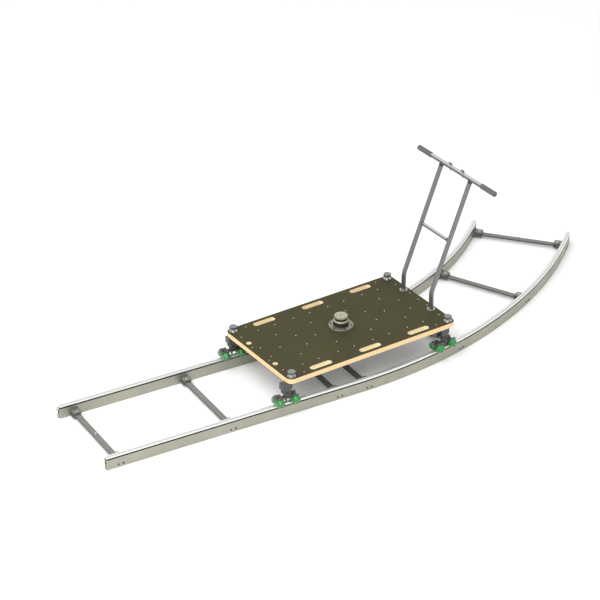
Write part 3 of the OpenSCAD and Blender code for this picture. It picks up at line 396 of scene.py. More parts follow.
def bright_steel():
    """Turned and zinc plated: pins, dowels, plungers, bearings."""
    f = Finish("bright_steel", Metallic=1.0)
    haze = f.noise(70.0, 4.0)
    f.feed(Base_Color=f.mixed(haze, tint(188, 189, 188), tint(224, 223, 219)))
    f.feed(Roughness=0.2 + haze * 0.18)
    f.bump(f.noise(1800.0, 2.0), 0.06, 0.0002)
    return f.material


def black_oxide():
    """Blackened screws, bolts and nuts, rubbed grey in places."""
    f = Finish("black_oxide", Metallic=0.8)
    rub = f.ramp(f.noise(120.0, 5.0, 0.7), 0.5, 0.75)
    f.feed(Base_Color=f.mixed(rub, tint(62, 63, 63), tint(118, 118, 115)))
    f.feed(Roughness=0.34 + rub * 0.16)
    f.bump(f.noise(1400.0, 2.0), 0.1, 0.0002)
    return f.material


def deck_film():
    """Olive brown resin film on the board: faint clouds, dust and hair-fine scuffs."""
    f = Finish("deck_film", Specular_IOR_Level=0.3)
    cloud = f.noise(3.2, 5.0, 0.6)
    weave = f.noise(650.0, 2.0)
    scuff_a = f.ramp(f.noise(6.0, 5.0, 0.75, f.stretched((2, 90, 2))), 0.66, 0.72)
    scuff_b = f.ramp(f.noise(5.0, 5.0, 0.75, f.stretched((70, 3, 2))), 0.68, 0.74)
    scuffs = scuff_a * 0.45 + scuff_b * 0.4
    film = f.mixed(cloud, tint(47, 44, 17), tint(69, 65, 34))
    film = f.mixed(weave * 0.2, film, tint(80, 76, 50))
    f.feed(Base_Color=f.mixed(scuffs, film, tint(110, 106, 80)))
    f.feed(Roughness=0.56 + cloud * 0.1 + scuffs * 0.15)
    f.bump(weave, 0.22, 0.0004)
    return f.material


def birch_plies(name, pale, paler, dull, duller, roughness):
    """Cut birch plywood: thin plies, every other one end grain."""
    f = Finish(name, Metallic=0.0)
    phase = f.axis("Z") * (math.tau / (TWO_PLIES / 1000))
    plies = f.ramp(phase.maths("SINE", phase) * 0.5 + 0.5, 0.25, 0.75)
    grain = f.noise(60.0, 5.0, 0.7, f.stretched((6, 6, 40)))
    long_grain = f.mixed(grain, pale, paler)
    end_grain = f.mixed(grain, dull, duller)
    f.feed(Base_Color=f.mixed(plies, long_grain, end_grain))
    f.feed(Roughness=roughness + grain * 0.2)
    f.bump(plies * 0.4 + grain, 0.2, 0.0004)
    return f.material


def birch_edge():
    """The board's outer edge."""
    pale, paler = tint(246, 214, 160), tint(254, 230, 184)
    return birch_plies("birch_edge", pale, paler, tint(224, 182, 124), tint(240, 204, 150), 0.55)


def birch_hole_painted_light():
    """The walls of the slots and holes, paler than the edge: painted light against their shade."""
    pale, paler, dull = tint(254, 236, 200), tint(255, 244, 216), tint(250, 224, 176)
    return birch_plies("birch_hole_painted_light", pale, paler, dull, dull, 0.6)


def zinc_insert():
    """Yellowish plated inserts."""
    f = Finish("zinc_insert", Metallic=0.9)
    haze = f.noise(300.0, 3.0)
    f.feed(Base_Color=f.mixed(haze, tint(166, 163, 145), tint(204, 200, 184)))
    f.feed(Roughness=0.28 + haze * 0.2)
    return f.material


def truck_paint():
    """Hammered grey paint on the cast yokes."""
    f = Finish("truck_paint", Metallic=0.25, Coat_Roughness=0.25)
    dimples = f.noise(240.0, 2.0, 0.4)
    cloud = f.noise(20.0, 4.0)
    f.feed(Base_Color=f.mixed(cloud, tint(66, 72, 72), tint(84, 90, 89)))
    f.feed(Roughness=0.38 + dimples * 0.15)
    f.bump(dimples, 0.35, 0.0006)
    return f.material


def plate_steel():
    """Bare plate steel of the bogies: rolled, with a brown cast and light rub marks."""
    f = Finish("plate_steel", Metallic=0.6)
    roll = f.noise(1.0, 5.0, 0.7, f.stretched((12, 260, 260)))
    cast = f.noise(35.0, 4.0)
    steel = f.mixed(cast, tint(98, 95, 90), tint(118, 115, 110))
    f.feed(Base_Color=f.mixed(roll * 0.3, steel, tint(150, 148, 143)))
    f.feed(Roughness=0.38 + roll * 0.2)
    f.bump(roll, 0.15, 0.0003)
    return f.material


def knob_plastic():
    """Moulded grey knobs, with painted shade on their sides."""
    f = Finish("knob_plastic", Metallic=0.3)
    mottle = f.noise(120.0, 3.0)
    grey = f.mixed(mottle, tint(128, 128, 123), tint(146, 146, 141))
    # Painted shade: faces that don't face up are painted darker.
    f.feed(Base_Color=f.mixed(f.upward() < 0.5, grey, tint(84, 84, 81)))
    f.feed(Roughness=0.42 + mottle * 0.12)
    f.bump(f.noise(1500.0, 2.0), 0.12, 0.0002)
    return f.material


def urethane():
    """Green cast urethane: milky clouds, a rubbed tread and a little dust."""
    f = Finish("urethane", Coat_Weight=0.6, Coat_Roughness=0.2)
    cloud = f.noise(45.0, 3.0)
    dust = f.ramp(f.noise(320.0, 4.0, 0.7), 0.6, 0.72)
    cast = f.mixed(cloud, tint(20, 122, 50), tint(34, 142, 64))
    f.feed(Base_Color=f.mixed(dust * 0.2, cast, tint(120, 180, 126)))
    f.feed(Roughness=0.3 + dust * 0.2)
    f.bump(f.noise(700.0, 2.0), 0.08, 0.0002)
    return f.material


def tube_grey():
    """Grey anodised tube, drawn lines round the bends hardly seen."""
    f = Finish("tube_grey", Metallic=0.7)
    haze = f.noise(14.0, 5.0)
    fine = f.noise(1100.0, 2.0)
    f.feed(Base_Color=f.mixed(haze, tint(118, 118, 117), tint(136, 136, 134)))
    f.feed(Roughness=0.3 + fine * 0.1)
    f.bump(fine, 0.05, 0.0002)
    return f.material


def bar_aluminium():
    """The handlebar's and the brace's drawn tube: painted highlight on top, painted shade below."""
    f = Finish("bar_aluminium", Metallic=0.85)
    haze = f.noise(14.0, 5.0)
    drawn = f.noise(1.0, 3.0, 0.6, f.stretched((500, 4, 500)))
    painted_highlight_tone = f.mixed(haze, tint(202, 202, 199), tint(224, 224, 221))
    # Painted light: faces that face up take the bright tone, the rest the dark grey.
    top = f.ramp(f.upward(), 0.48, 0.64)
    f.feed(Base_Color=f.mixed(top, tint(112, 112, 110), painted_highlight_tone))
    f.feed(Roughness=0.26 + drawn * 0.12)
    f.bump(drawn, 0.05, 0.0002)
    return f.material


def saddle_black_painted_shade():
    """The saddles: fittings at the tube joints, near black as painted shade where the tubes meet.
    """
    f = Finish("saddle_black_painted_shade", Metallic=0.1)
    grain = f.noise(800.0, 3.0)
    f.feed(Base_Color=f.mixed(grain, tint(48, 48, 47), tint(64, 64, 62)))
    f.feed(Roughness=0.42 + grain * 0.15)
    f.bump(grain, 0.2, 0.0003)
    return f.material


def grip_rubber():
    """Dark grey rubber with a faint bloom."""
    f = Finish("grip_rubber", Metallic=0.0)
    bloom = f.noise(60.0, 4.0)
    f.feed(Base_Color=f.mixed(bloom, tint(88, 88, 87), tint(106, 106, 104)))
    f.feed(Roughness=0.68 + bloom * 0.15)
    f.bump(f.noise(1300.0, 3.0), 0.25, 0.0003)
    return f.material


def turned_alloy(f, haze, colour, roughness=0.34):
    """What the mount's three alloys share: a hazy gloss and fine tool marks."""
    f.feed(Base_Color=colour)
    f.feed(Roughness=roughness + haze * 0.15)
    f.bump(f.noise(1200.0, 2.0), 0.06, 0.0002)
    return f.material


def flange_alloy():
    """The grey alloy of the mount's base flange."""
    f = Finish("flange_alloy", Metallic=0.7)
    haze = f.noise(25.0, 5.0)
    return turned_alloy(f, haze, f.mixed(haze, tint(142, 142, 127), tint(166, 165, 149)))


def cream_alloy():
    """The pale alloy of the mount's top disc, with painted shade on the floors of the lines across
    it.
    """
    f = Finish("cream_alloy", Metallic=0.35)
    haze = f.noise(25.0, 5.0)
    pale = f.mixed(haze, tint(170, 167, 143), tint(194, 191, 168))
    # Painted shade: faces that face up but lie below the disc's top are painted dark.
    line_floor_shade = (f.upward() > 0.9) * (f.axis("Z") < (DECK_TOP_Z + DISC_TOP - 0.3) / 1000)
    return turned_alloy(f, haze, f.mixed(line_floor_shade, pale, tint(52, 52, 44)))


def dark_alloy():
    """The drum's dark finish, with a pale painted highlight on its sloped step."""
    f = Finish("dark_alloy", Metallic=0.4)
    haze = f.noise(30.0, 4.0)
    dark = f.mixed(haze, tint(44, 44, 35), tint(60, 60, 49))
    # Painted highlight: the sloped step is painted pale, patchy with the haze.
    step = (f.upward() > 0.2) * (f.upward() < 0.95) * (0.4 + haze * 0.6)
    return turned_alloy(f, haze, f.mixed(step, dark, tint(190, 187, 158)), 0.36)


# Tools for the pieces. Each piece is modelled in millimetres about its own origin


def deselect():
    if bpy.context.object and bpy.context.object.mode != "OBJECT":
        bpy.ops.object.mode_set(mode="OBJECT")
    bpy.ops.object.select_all(action="DESELECT")


def take(piece):
    """Selects one piece alone."""
    deselect()
    piece.select_set(True)
    bpy.context.view_layer.objects.active = piece


def tidy_normals(piece):
    take(piece)
    bpy.ops.object.mode_set(mode="EDIT")
    bpy.ops.mesh.select_all(action="SELECT")
    bpy.ops.mesh.remove_doubles(threshold=0.0005)
    bpy.ops.mesh.normals_make_consistent(inside=False)
    bpy.ops.object.mode_set(mode="OBJECT")


def apply_modifiers(piece):
    take(piece)
    for modifier in list(piece.modifiers):
        bpy.ops.object.modifier_apply(modifier=modifier.name)


def round_edges(piece, width, segments=2, angle=30):
    """Rounds every edge that is sharper than the angle."""
    bevel = piece.modifiers.new("rounding", "BEVEL")
    bevel.width = width
    bevel.segments = segments
    bevel.limit_method = "ANGLE"
    bevel.angle_limit = math.radians(angle)
    bevel.use_clamp_overlap = True
    apply_modifiers(piece)


def arc(x, z, radius, start, end, steps):
    """Points of an arc, for a turned outline; angles in degrees from the +r direction."""
    angles = [math.radians(start + (end - start) * i / steps) for i in range(steps + 1)]
    return [(x + radius * math.cos(a), z + radius * math.sin(a)) for a in angles]


def turned(name, outline, steps=48):
    """A piece turned about z: one point drawn out along its half section, then spun."""
    deselect()
    bpy.ops.mesh.primitive_plane_add(size=1, location=(0, 0, 0))
    piece = bpy.context.object
    piece.name = name
    bpy.ops.object.mode_set(mode="EDIT")
    bpy.ops.mesh.select_all(action="SELECT")
    bpy.ops.mesh.merge(type="CENTER")
    bpy.ops.transform.translate(value=(outline[0][0], 0, outline[0][1]))
    for (r0, z0), (r1, z1) in zip(outline, outline[1:]):
        step = {"value": (r1 - r0, 0, z1 - z0)}
        bpy.ops.mesh.extrude_vertices_move(TRANSFORM_OT_translate=step)
    bpy.ops.mesh.select_all(action="SELECT")
    bpy.ops.mesh.spin(steps=steps, angle=math.tau, center=(0, 0, 0), axis=(0, 0, 1))
    bpy.ops.object.mode_set(mode="OBJECT")
    tidy_normals(piece)
    return piece


def rod(name, radius, low, high, sides=32, edge=0.0):
    """An upright rod or prism, its two rims rounded."""
    deselect()
    bpy.ops.mesh.primitive_cylinder_add(
        vertices=sides, radius=radius, depth=high - low, location=(0, 0, (low + high) / 2)
    )
    piece = bpy.context.object
    piece.name = name
    bpy.ops.object.transform_apply(location=True, rotation=True, scale=True)
    if edge:
        round_edges(piece, edge, 2, 40)
    return piece


def cut_out(piece, tool):
    """Cuts the tool's shape out of a piece, and drops the tool."""
    boolean = piece.modifiers.new("cut", "BOOLEAN")
    boolean.operation = "DIFFERENCE"
    boolean.solver = "EXACT"
    boolean.object = tool
    apply_modifiers(piece)
    bpy.data.objects.remove(tool)


def joined(name, pieces):
    """Several meshes as one piece."""
    take(pieces[0])
    for piece in pieces[1:]:
        piece.select_set(True)
    if len(pieces) > 1:
        bpy.ops.object.join()
    pieces[0].name = name
    return pieces[0]


def put(piece, place, name):
    """A copy of a piece, with its own mesh, at its place in the row frame."""
    copy = bpy.data.objects.new(name, piece.data.copy())
    bpy.context.scene.collection.objects.link(copy)
    copy.matrix_world = place
    take(copy)
    bpy.ops.object.transform_apply(location=True, rotation=True, scale=True)
    return copy


def drop(*pieces):
    for piece in pieces:
        bpy.data.objects.remove(piece)


def merged(name, nodes):
    """Copies of CAD nodes as one piece, its loose triangles joined up."""
    copies = []
    for node in nodes:
        copy = bpy.data.objects.new(name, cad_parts[node].data.copy())
        bpy.context.scene.collection.objects.link(copy)
        copies.append(copy)
    piece = joined(name, copies)
    piece.data.materials.clear()
    bpy.ops.object.mode_set(mode="EDIT")
    bpy.ops.mesh.select_all(action="SELECT")
    bpy.ops.mesh.remove_doubles(threshold=MERGE_WITHIN)
    bpy.ops.mesh.dissolve_limited(angle_limit=math.radians(FLAT_WITHIN))
    bpy.ops.object.mode_set(mode="OBJECT")
    return piece


def softened(name, nodes, width, segments=2, angle=30):
    """Merged copies of CAD nodes with their sharp edges rounded by so many millimetres."""
    piece = merged(name, nodes)
    round_edges(piece, width * 0.001, segments, angle)
    return piece


def finish(piece, body, slot, material, *nodes, smooth=32):
    """Gives a piece its finish, its body and the CAD nodes that it stands for."""
    take(piece)
    bpy.ops.object.shade_smooth_by_angle(angle=math.radians(smooth))
    weighted = piece.modifiers.new("even_shading", "WEIGHTED_NORMAL")
    weighted.keep_sharp = True
    apply_modifiers(piece)
    if not piece.data.materials:
        piece.data.materials.append(material)
    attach(piece, body)
    if nodes:
        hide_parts(*nodes)
    return piece


# Camera, light and floor


def add_camera():
    """The photo's view: a long lens, well above the track and to the left of it."""
    bpy.ops.object.camera_add(location=ROW @ Vector(CAMERA_PLACE))
    camera = bpy.context.object
    camera.name = "camera"
    target = ROW @ Vector(CAMERA_TARGET)
    camera.rotation_euler = (target - camera.location).to_track_quat("-Z", "Y").to_euler()
    camera.data.lens = CAMERA_LENS
    camera.data.sensor_width = CAMERA_SENSOR
    camera.data.clip_end = 100
    bpy.context.scene.camera = camera


def add_light(name, place, target, size, power):
    """A square soft light that faces its target."""
    bpy.ops.object.light_add(type="AREA", location=place)
    light = bpy.context.object
    light.name = name
    light.data.size = size
    light.data.energy = power
    direction = Vector(target) - light.location
    light.rotation_euler = direction.to_track_quat("-Z", "Y").to_euler()


def add_studio():
    """A pale floor, an even white surround and one large soft light."""
    deselect()
    bpy.ops.mesh.primitive_plane_add(size=60, location=(0, 0, -0.0005))
    floor = bpy.context.object
    floor.name = "floor"
    paper = Finish("paper", Roughness=0.9, Emission_Strength=0.1)
    paper.shader.inputs["Base Color"].default_value = (0.93, 0.93, 0.93, 1)
    paper.shader.inputs["Emission Color"].default_value = (1, 1, 1, 1)
    floor.data.materials.append(paper.material)
    world = bpy.data.worlds.new("studio")
    world.use_nodes = True
    surround = world.node_tree.nodes["Background"]
    surround.inputs["Color"].default_value = (1, 1, 1, 1)
    surround.inputs["Strength"].default_value = 0.8
    bpy.context.scene.world = world
    add_light("key", place=(-4.2, -2.4, 7), target=(0, 0, 0), size=6, power=470)
    bpy.context.scene.view_settings.view_transform = "Standard"


add_camera()
add_studio()


# Track


def dress_rails():
    """The rails keep the shape of their CAD nodes, as smooth merged meshes."""
    for name in ("rail_straight_near", "rail_straight_far", "rail_curved_near", "rail_curved_far"):
        finish(merged(name + "_extrusion", [name]), "track", "rail", RAIL, name)


def add_ties():
    """Ties and brackets: the CAD shapes with their edges rounded."""
    for name in ("straight_ties", "curved_ties"):
        finish(softened(name + "_painted", [name], 0.9), "track", "tie", TIE, name)
    brackets = softened("brackets", ["tie_brackets"], 0.8)
    finish(brackets, "track", "bracket", BRACKET, "tie_brackets")


def add_tie_pins():
    """A pin with a rounded head and a centre drilled dimple, at both ends of each tie."""
    outline = [(0, 11), (5, 11), (6, 12), (6, 46), (9.2, 46), (10, 46.8)]
    outline += arc(8.4, 48.4, 1.6, 0, 90, 4) + [(2.2, 50), (0, 48.8)]
    pin = turned("pin", outline, 32)
    places = [f @ move(0, y, 0) for f in tie_frames() for y in (-TIE_PIN_Y, TIE_PIN_Y)]
    pins = joined("tie_pins_turned", [put(pin, place, "tie_pin") for place in places])
    drop(pin)
    finish(pins, "track", "pin", STEEL, "tie_pins")


def socket_screw(name, head_r, head_t, shank_r, shank_l, key_r):
    """A round headed screw with a hexagon socket; the head stands up from z = 0."""
    outline = [(0, -shank_l), (shank_r - 0.5, -shank_l), (shank_r, 0.5 - shank_l), (shank_r, 0)]
    outline += [(head_r, 0), (head_r, head_t - 0.6)]
    outline += arc(head_r - 0.6, head_t - 0.6, 0.6, 0, 90, 3)[1:] + [(0, head_t)]
    screw = turned(name, outline, 32)
    cut_out(screw, rod("key", key_r, head_t * 0.35, head_t + 1, 6))
    return screw


def add_rail_screws():
    """Bracket screws in the rails' outer webs, and the set screws of the dowels."""
    screw = socket_screw("bracket_screw", head_r=5.5, head_t=2, shank_r=3, shank_l=40, key_r=2.6)
    out = []
    for frame_of_tie in tie_frames():
        for side in (-1, 1):
            for x in (-SCREW_X, SCREW_X):
                lean = turn(-90 * side, "X")
                y = side * (HALF_GAUGE + WEB_W / 2 + 0.2)
                out.append(put(screw, frame_of_tie @ move(x, y, SCREW_Z) @ lean, "screw"))
    drop(screw)
    grub = rod("grub", 2.5, -5, 0, 24, 0.4)
    cut_out(grub, rod("key", 1.4, -1.6, 1, 6))
    for z in CHANNELS_Z:
        for side in (-1, 1):
            y = side * HALF_GAUGE + 1 - WEB_W / 2
            places = [on_straight(SET_SCREW_IN)]
            places += [on_straight(STRAIGHT_LEN + x) for x in (-SET_SCREW_IN, SET_SCREW_IN)]
            places.append(on_curve(CURVE_TURN) @ move(-SET_SCREW_IN, 0, 0))
            out += [put(grub, place @ move(0, y, z) @ turn(90, "X"), "grub") for place in places]
    drop(grub)
    finish(joined("rail_screws_socketed", out), "track", "fastener", OXIDE, "rail_screws")


def add_dowels():
    """Stepped dowels: the held half is thicker, and the free half has a bevelled nose."""
    out = []
    for free in (DOWEL_OUT, DOWEL_HELD_L):
        outline = [(0, -DOWEL_HELD_L), (DOWEL_R - 1, -DOWEL_HELD_L), (DOWEL_R, 1 - DOWEL_HELD_L)]
        outline += [(DOWEL_R, 0), (DOWEL_FREE_R, 0), (DOWEL_FREE_R, free - 2)]
        outline += [(DOWEL_FREE_R - 1.5, free), (1.6, free), (0, free - 1)]
        dowel = turned("dowel", outline, 40)
        for z in CHANNELS_Z:
            if free == DOWEL_OUT:
                places = [on_straight(0) @ move(0, HALF_GAUGE, z) @ turn(-90, "Y")]
            else:
                near = on_straight(STRAIGHT_LEN) @ move(0, -HALF_GAUGE, z) @ turn(90, "Y")
                far = on_straight(STRAIGHT_LEN) @ move(0, HALF_GAUGE, z) @ turn(-90, "Y")
                places = [near, far]
            out += [put(dowel, place, "dowel") for place in places]
        drop(dowel)
    finish(joined("dowels", out), "track", "pin", STEEL, "rail_dowels")


def add_plungers():
    """Spring plungers: stem, stop collar and a grooved knob."""
    gap, collar_t = 0.3, 2.5
    top = TIE_TOP_Z + gap
    low = TIE_TOP_Z - TIE_T - PLUNGER_TRAVEL - gap - collar_t
    outline = [(0, low), (5.6, low), (6, low + 0.4), (6, low + collar_t), (3, low + collar_t)]
    outline.append((3, top))
    outline += [(6, top), (6.5, top + 0.5), (6.5, top + 3), (5.7, top + 3.6), (5.7, top + 4.6)]
    outline += [(6.5, top + 5.2), (6.5, top + 10)] + arc(4.5, top + 10, 2, 0, 90, 5)[1:]
    plunger = turned("plunger", outline + [(0, top + 12)], 36)
    ends = {"left": on_straight(STRAIGHT_TIES[0]), "right": on_curve(CURVED_TIES[3])}
    for end, place in ends.items():
        piece = put(plunger, place, "plunger_" + end)
        finish(piece, "plunger_" + end, "pin", STEEL, "tie_plunger_" + end)
    drop(plunger)


# Deck and centre mount


def add_deck():
    """The board: film on its faces, the plies bare on every edge and in every hole."""
    board = softened("deck_plywood", ["deck_board"], 1.0, 2, 40)
    for material in (FILM, BIRCH, HOLE_PAINTED_LIGHT):
        board.data.materials.append(material)
    film, edge, hole = 0, 1, 2
    home = DECK.inverted()
    straight_x, straight_y = DECK_L / 2 - DECK_CORNER_R, DECK_W / 2 - DECK_CORNER_R
    for face in board.data.polygons:
        spot = home @ face.center
        reach = math.hypot(max(abs(spot.x) - straight_x, 0), max(abs(spot.y) - straight_y, 0))
        # Hole and slot walls take the paler birch, which is painted light against their shade.
        wall = hole if reach < DECK_CORNER_R - 3 else edge
        face.material_index = film if abs(face.normal.z) > 0.9 else wall
    finish(board, "dolly", "deck", FILM, "deck_board")


def insert_places():
    """Eight rings of three, three beside each kingpin, and two groups along the middle."""
    spots = []
    for x in INSERT_RINGS_X:
        for side in (-1, 1):
            for angle in (0, 120, 240):
                along = INSERT_RING_R * math.sin(math.radians(angle))
                across = INSERT_RING_R * math.cos(math.radians(angle))
                spots.append((x + along, side * (INSERT_RINGS_Y - across)))
    for end in (-1, 1):
        for side in (-1, 1):
            spots.append((end * WHEELBASE / 2, side * (KING_Y - INSERT_FROM_KING)))
            spots.append((end * (WHEELBASE / 2 - INSERT_FROM_KING), side * KING_Y))
            spots.append((end * (DECK_L / 2 - INSERT_FROM_END), side * INSERT_END_Y))
    for x in INSERT_GROUPS_X:
        for step in INSERT_GROUP_PAIRS:
            spots += [(x + step, side * INSERT_GROUP_Y) for side in (-1, 1)]
        spots += [(x + step, 0) for step in INSERT_GROUP_MIDDLES]
    return spots


def add_inserts():
    """Flush threaded inserts: a bevelled rim round a bore with three coarse threads."""
    bore = [(3.4, -INSERT_L), (3.4, -3.2), (3.9, -2.7), (3.4, -2.2), (3.9, -1.7), (3.4, -1.2)]
    outline = bore + [(3.4, -0.8), (4, 0), (INSERT_R - 0.3, 0), (INSERT_R, -0.3)]
    outline += [(INSERT_R, -INSERT_L), (3.4, -INSERT_L)]
    insert = turned("insert", outline, 20)
    places = [DECK @ move(x, y, DECK_TOP_Z) for x, y in insert_places()]
    inserts = joined("inserts_threaded", [put(insert, place, "insert") for place in places])
    drop(insert)
    finish(inserts, "dolly", "insert", INSERT, "deck_inserts")


def add_washers():
    """A bevelled washer on the deck and a thrust washer under it, at every kingpin."""
    out = []
    bore, edge = KINGPIN_R + 0.1, 0.6
    under = DECK_TOP_Z - DECK_T - THRUST_WASHER_T
    for low, thick in ((DECK_TOP_Z, WASHER_T), (under, THRUST_WASHER_T)):
        top = low + thick
        outline = [(bore, low), (WASHER_R, low), (WASHER_R, top - edge), (WASHER_R - edge, top)]
        washer = turned("washer", outline + [(bore, top), (bore, low)], 64)
        for x in (-WHEELBASE / 2, WHEELBASE / 2):
            out += [put(washer, DECK @ move(x, y, 0), "washer") for y in (-KING_Y, KING_Y)]
        drop(washer)
    finish(joined("washers", out), "dolly", "knob", STEEL, "deck_washers")


def add_post_sockets():
    """Flanged sockets of the posts, with a lip below that the posts stand on."""
    top, low = DECK_TOP_Z, DECK_TOP_Z - DECK_T
    bore_r, lip_r, lip_t, rim_t = 14.6, 10.75, 4, 4
    outline = [(lip_r, low - lip_t), (SOCKET_R - 0.7, low - lip_t), (SOCKET_R, low - 3.3)]
    outline += [(SOCKET_R, top), (SOCKET_RIM_R, top), (SOCKET_RIM_R, top + 2.8)]
    outline += arc(SOCKET_RIM_R - 1.2, top + 2.8, 1.2, 0, 90, 4)[1:]
    outline += [(bore_r + 0.6, top + rim_t), (bore_r, top + 3.4), (bore_r, low)]
    outline += [(lip_r, low), (lip_r, low - lip_t)]
    socket = turned("socket", outline, 64)
    out = [put(socket, DECK @ move(POST_X, y, 0), "socket") for y in (-POST_Y, POST_Y)]
    drop(socket)
    finish(joined("post_sockets", out), "dolly", "tube", STEEL, "push_bar_sockets")


def add_mount():
    """The flange, its six screws, the drum with its bevelled ring, and the turning disc."""
    top = DECK @ move(0, 0, DECK_TOP_Z)
    outline = [(0, 0), (FLANGE_R - 0.6, 0), (FLANGE_R, 0.6), (FLANGE_R, FLANGE_T - 2)]
    outline += arc(FLANGE_R - 2, FLANGE_T - 2, 2, 0, 90, 4)[1:]
    outline += [(DRUM_R + 1.6, FLANGE_T), (DRUM_R + 1.2, FLANGE_T - 0.4), (0, FLANGE_T - 0.4)]
    flange = turned("flange", outline, 96)
    piece = put(flange, top, "mount_flange_turned")
    finish(piece, "dolly", "mount_pale", FLANGE, "mount_flange")
    drop(flange)
    screw = socket_screw("flange_screw", head_r=4.5, head_t=3, shank_r=2.5, shank_l=31, key_r=2)
    around = range(15, 375, 60)
    places = [top @ turn(a, "Z") @ move(FLANGE_SCREWS_R, 0, FLANGE_T) for a in around]
    screws = joined("mount_screws", [put(screw, place, "mount_screw") for place in places])
    drop(screw)
    finish(screws, "dolly", "fastener", OXIDE, "mount_flange_screws")
    bore_r, bore_z, step_z = 15.05, 42, 47
    outline = [(0, FLANGE_T), (DRUM_R - 0.6, FLANGE_T), (DRUM_R, FLANGE_T + 0.6), (DRUM_R, 41.2)]
    outline += [(46.4, 42.4), (39.6, 46.6), (38.6, step_z), (36.3, step_z)]
    outline += [(NECK_R, step_z + 0.8), (NECK_R, NECK_H - 0.6), (NECK_R - 0.6, NECK_H)]
    outline += [(bore_r, NECK_H), (bore_r, bore_z), (0, bore_z)]
    drum = turned("drum", outline, 96)
    finish(put(drum, top, "mount_drum_turned"), "dolly", "mount_dark", DARK, "mount_drum")
    drop(drum)
    disc = softened("mount_disc", ["mount_top_disc"], 0.4, 2, 40)
    finish(disc, "mount_top", "mount_pale", CREAM, "mount_top_disc")


# Trucks


def add_knob_shape():
    """A flat round knob with six finger notches and a shallow dish in its top."""
    outline = [(0, 0), (KNOB_R - 0.8, 0), (KNOB_R, 0.8), (KNOB_R, 12)]
    outline += arc(KNOB_R - 3, 12, 3, 0, 90, 5)[1:]
    dish = [(15.5, 15), (14.5, 14.2), (3, 14.2), (2, 13.6), (0, 13.6)]
    knob = turned("knob", outline + dish, 72)
    for a in range(0, 360, 60):
        notch = rod("notch", 6, -1, 16, 32)
        notch.matrix_world = turn(a, "Z") @ move(KNOB_R + 3, 0, 0)
        cut_out(knob, notch)
    cut_out(knob, rod("thread", 8.05, -1, 10, 32))
    round_edges(knob, 0.5, 2, 40)
    return knob


def add_wheel_shape():
    """A tyre with rounded shoulders, a moulded step round its hub and a bearing each side."""
    half, edge, r = WHEEL_W / 2, WHEEL_EDGE, WHEEL_D / 2
    upper = arc(r - edge, half - edge, edge, 0, 90, 7)
    upper += [(14.6, half), (13.8, half - 0.8), (12.2, half - 0.8), (11.6, half - 0.3)]
    upper += [(11, half - 0.6), (11, half - 7), (8, half - 7)]
    lower = [(x, -z) for x, z in reversed(upper)]
    tyre = turned("tyre", upper + lower + [upper[0]], 56)
    tyre.data.materials.append(URETHANE)
    parts = [tyre]
    inner_race = [(4.05, 0.5), (4.6, 0), (7, 0), (7.2, 0.5)]
    outer_race = [(8.8, 0.5), (9, 0), (10.4, 0), (10.9, 0.5), (10.9, 7), (4.05, 7)]
    race = inner_race + outer_race + inner_race[:1]
    for up in (-1, 1):
        outline = [(x, up * (half - z)) for x, z in race]
        bearing = turned("bearing", outline, 40)
        bearing.data.materials.append(STEEL)
        parts.append(bearing)
    return joined("wheel", parts)


def add_axle_shape():
    """A bolt with a hexagon head below its wheel and a domed nut on the plate."""
    head = -WHEEL_W / 2 - 0.6
    nut = WHEEL_W / 2 + WHEEL_GAP + PLATE_T
    bolt_head = rod("bolt_head", 7, head - 4.5, head, 6, 0.6)
    outline = [(0, head - 0.5), (3.9, head - 0.5), (4, head), (4, nut + 5.4)]
    shank = turned("shank", outline + [(3.4, nut + 6), (0, nut + 6)], 28)
    nut_body = rod("nut", 7, nut, nut + 4.4, 6, 0.4)
    outline = [(0, nut + 4), (5.8, nut + 4), (5.8, nut + 4.6), (5.2, nut + 5), (0, nut + 5)]
    collar = turned("nut_collar", outline, 28)
    return joined("axle", [bolt_head, shank, nut_body, collar])


def show_pins(piece, place, reach):
    """The kingpin above the yoke is bright steel, and the cross pin's heads are blackened."""
    for material in (TRUCK, STEEL, OXIDE):
        piece.data.materials.append(material)
    steel, oxide, spare = 1, 2, 0.3
    home = place.inverted()
    kingpin, crosspin = [], []
    for vertex in piece.data.vertices:
        p = home @ vertex.co
        kingpin.append(math.hypot(p.x, p.y) < KINGPIN_R + spare and p.z > KINGPIN_SHOWS_Z)
        from_axis = math.hypot(p.x + reach, p.z - CROSSPIN_Z)
        crosspin.append(from_axis < CROSSPIN_HEAD_R + spare and abs(p.y) > CROSSPIN_HEADS_Y - spare)
    for face in piece.data.polygons:
        if all(kingpin[i] for i in face.vertices):
            face.material_index = steel
        elif all(crosspin[i] for i in face.vertices):
            face.material_index = oxide


def add_wheels(name, side, end, wheel, axle):
    """The four wheels of one bogie, and their bolts."""
    bolts = []
    for front, front_name in ((-1, "rear"), (1, "front")):
        for out in (-1, 1):
            out_name = "out" if out == TRUCK_SIDES[side] else "in"
            place = wheel_frame(side, end, out, front)
            bolts.append(put(axle, place, "bolt"))
            wheel_name = f"wheel_{name}_{front_name}_{out_name}"
            piece = put(wheel, place, "cast_" + wheel_name)
            finish(piece, wheel_name, "wheel", URETHANE, wheel_name, smooth=40)
    bolts = joined("axle_bolts_" + name, bolts)
    finish(bolts, "wheels_frame_" + name, "fastener", OXIDE, "axles_" + name)


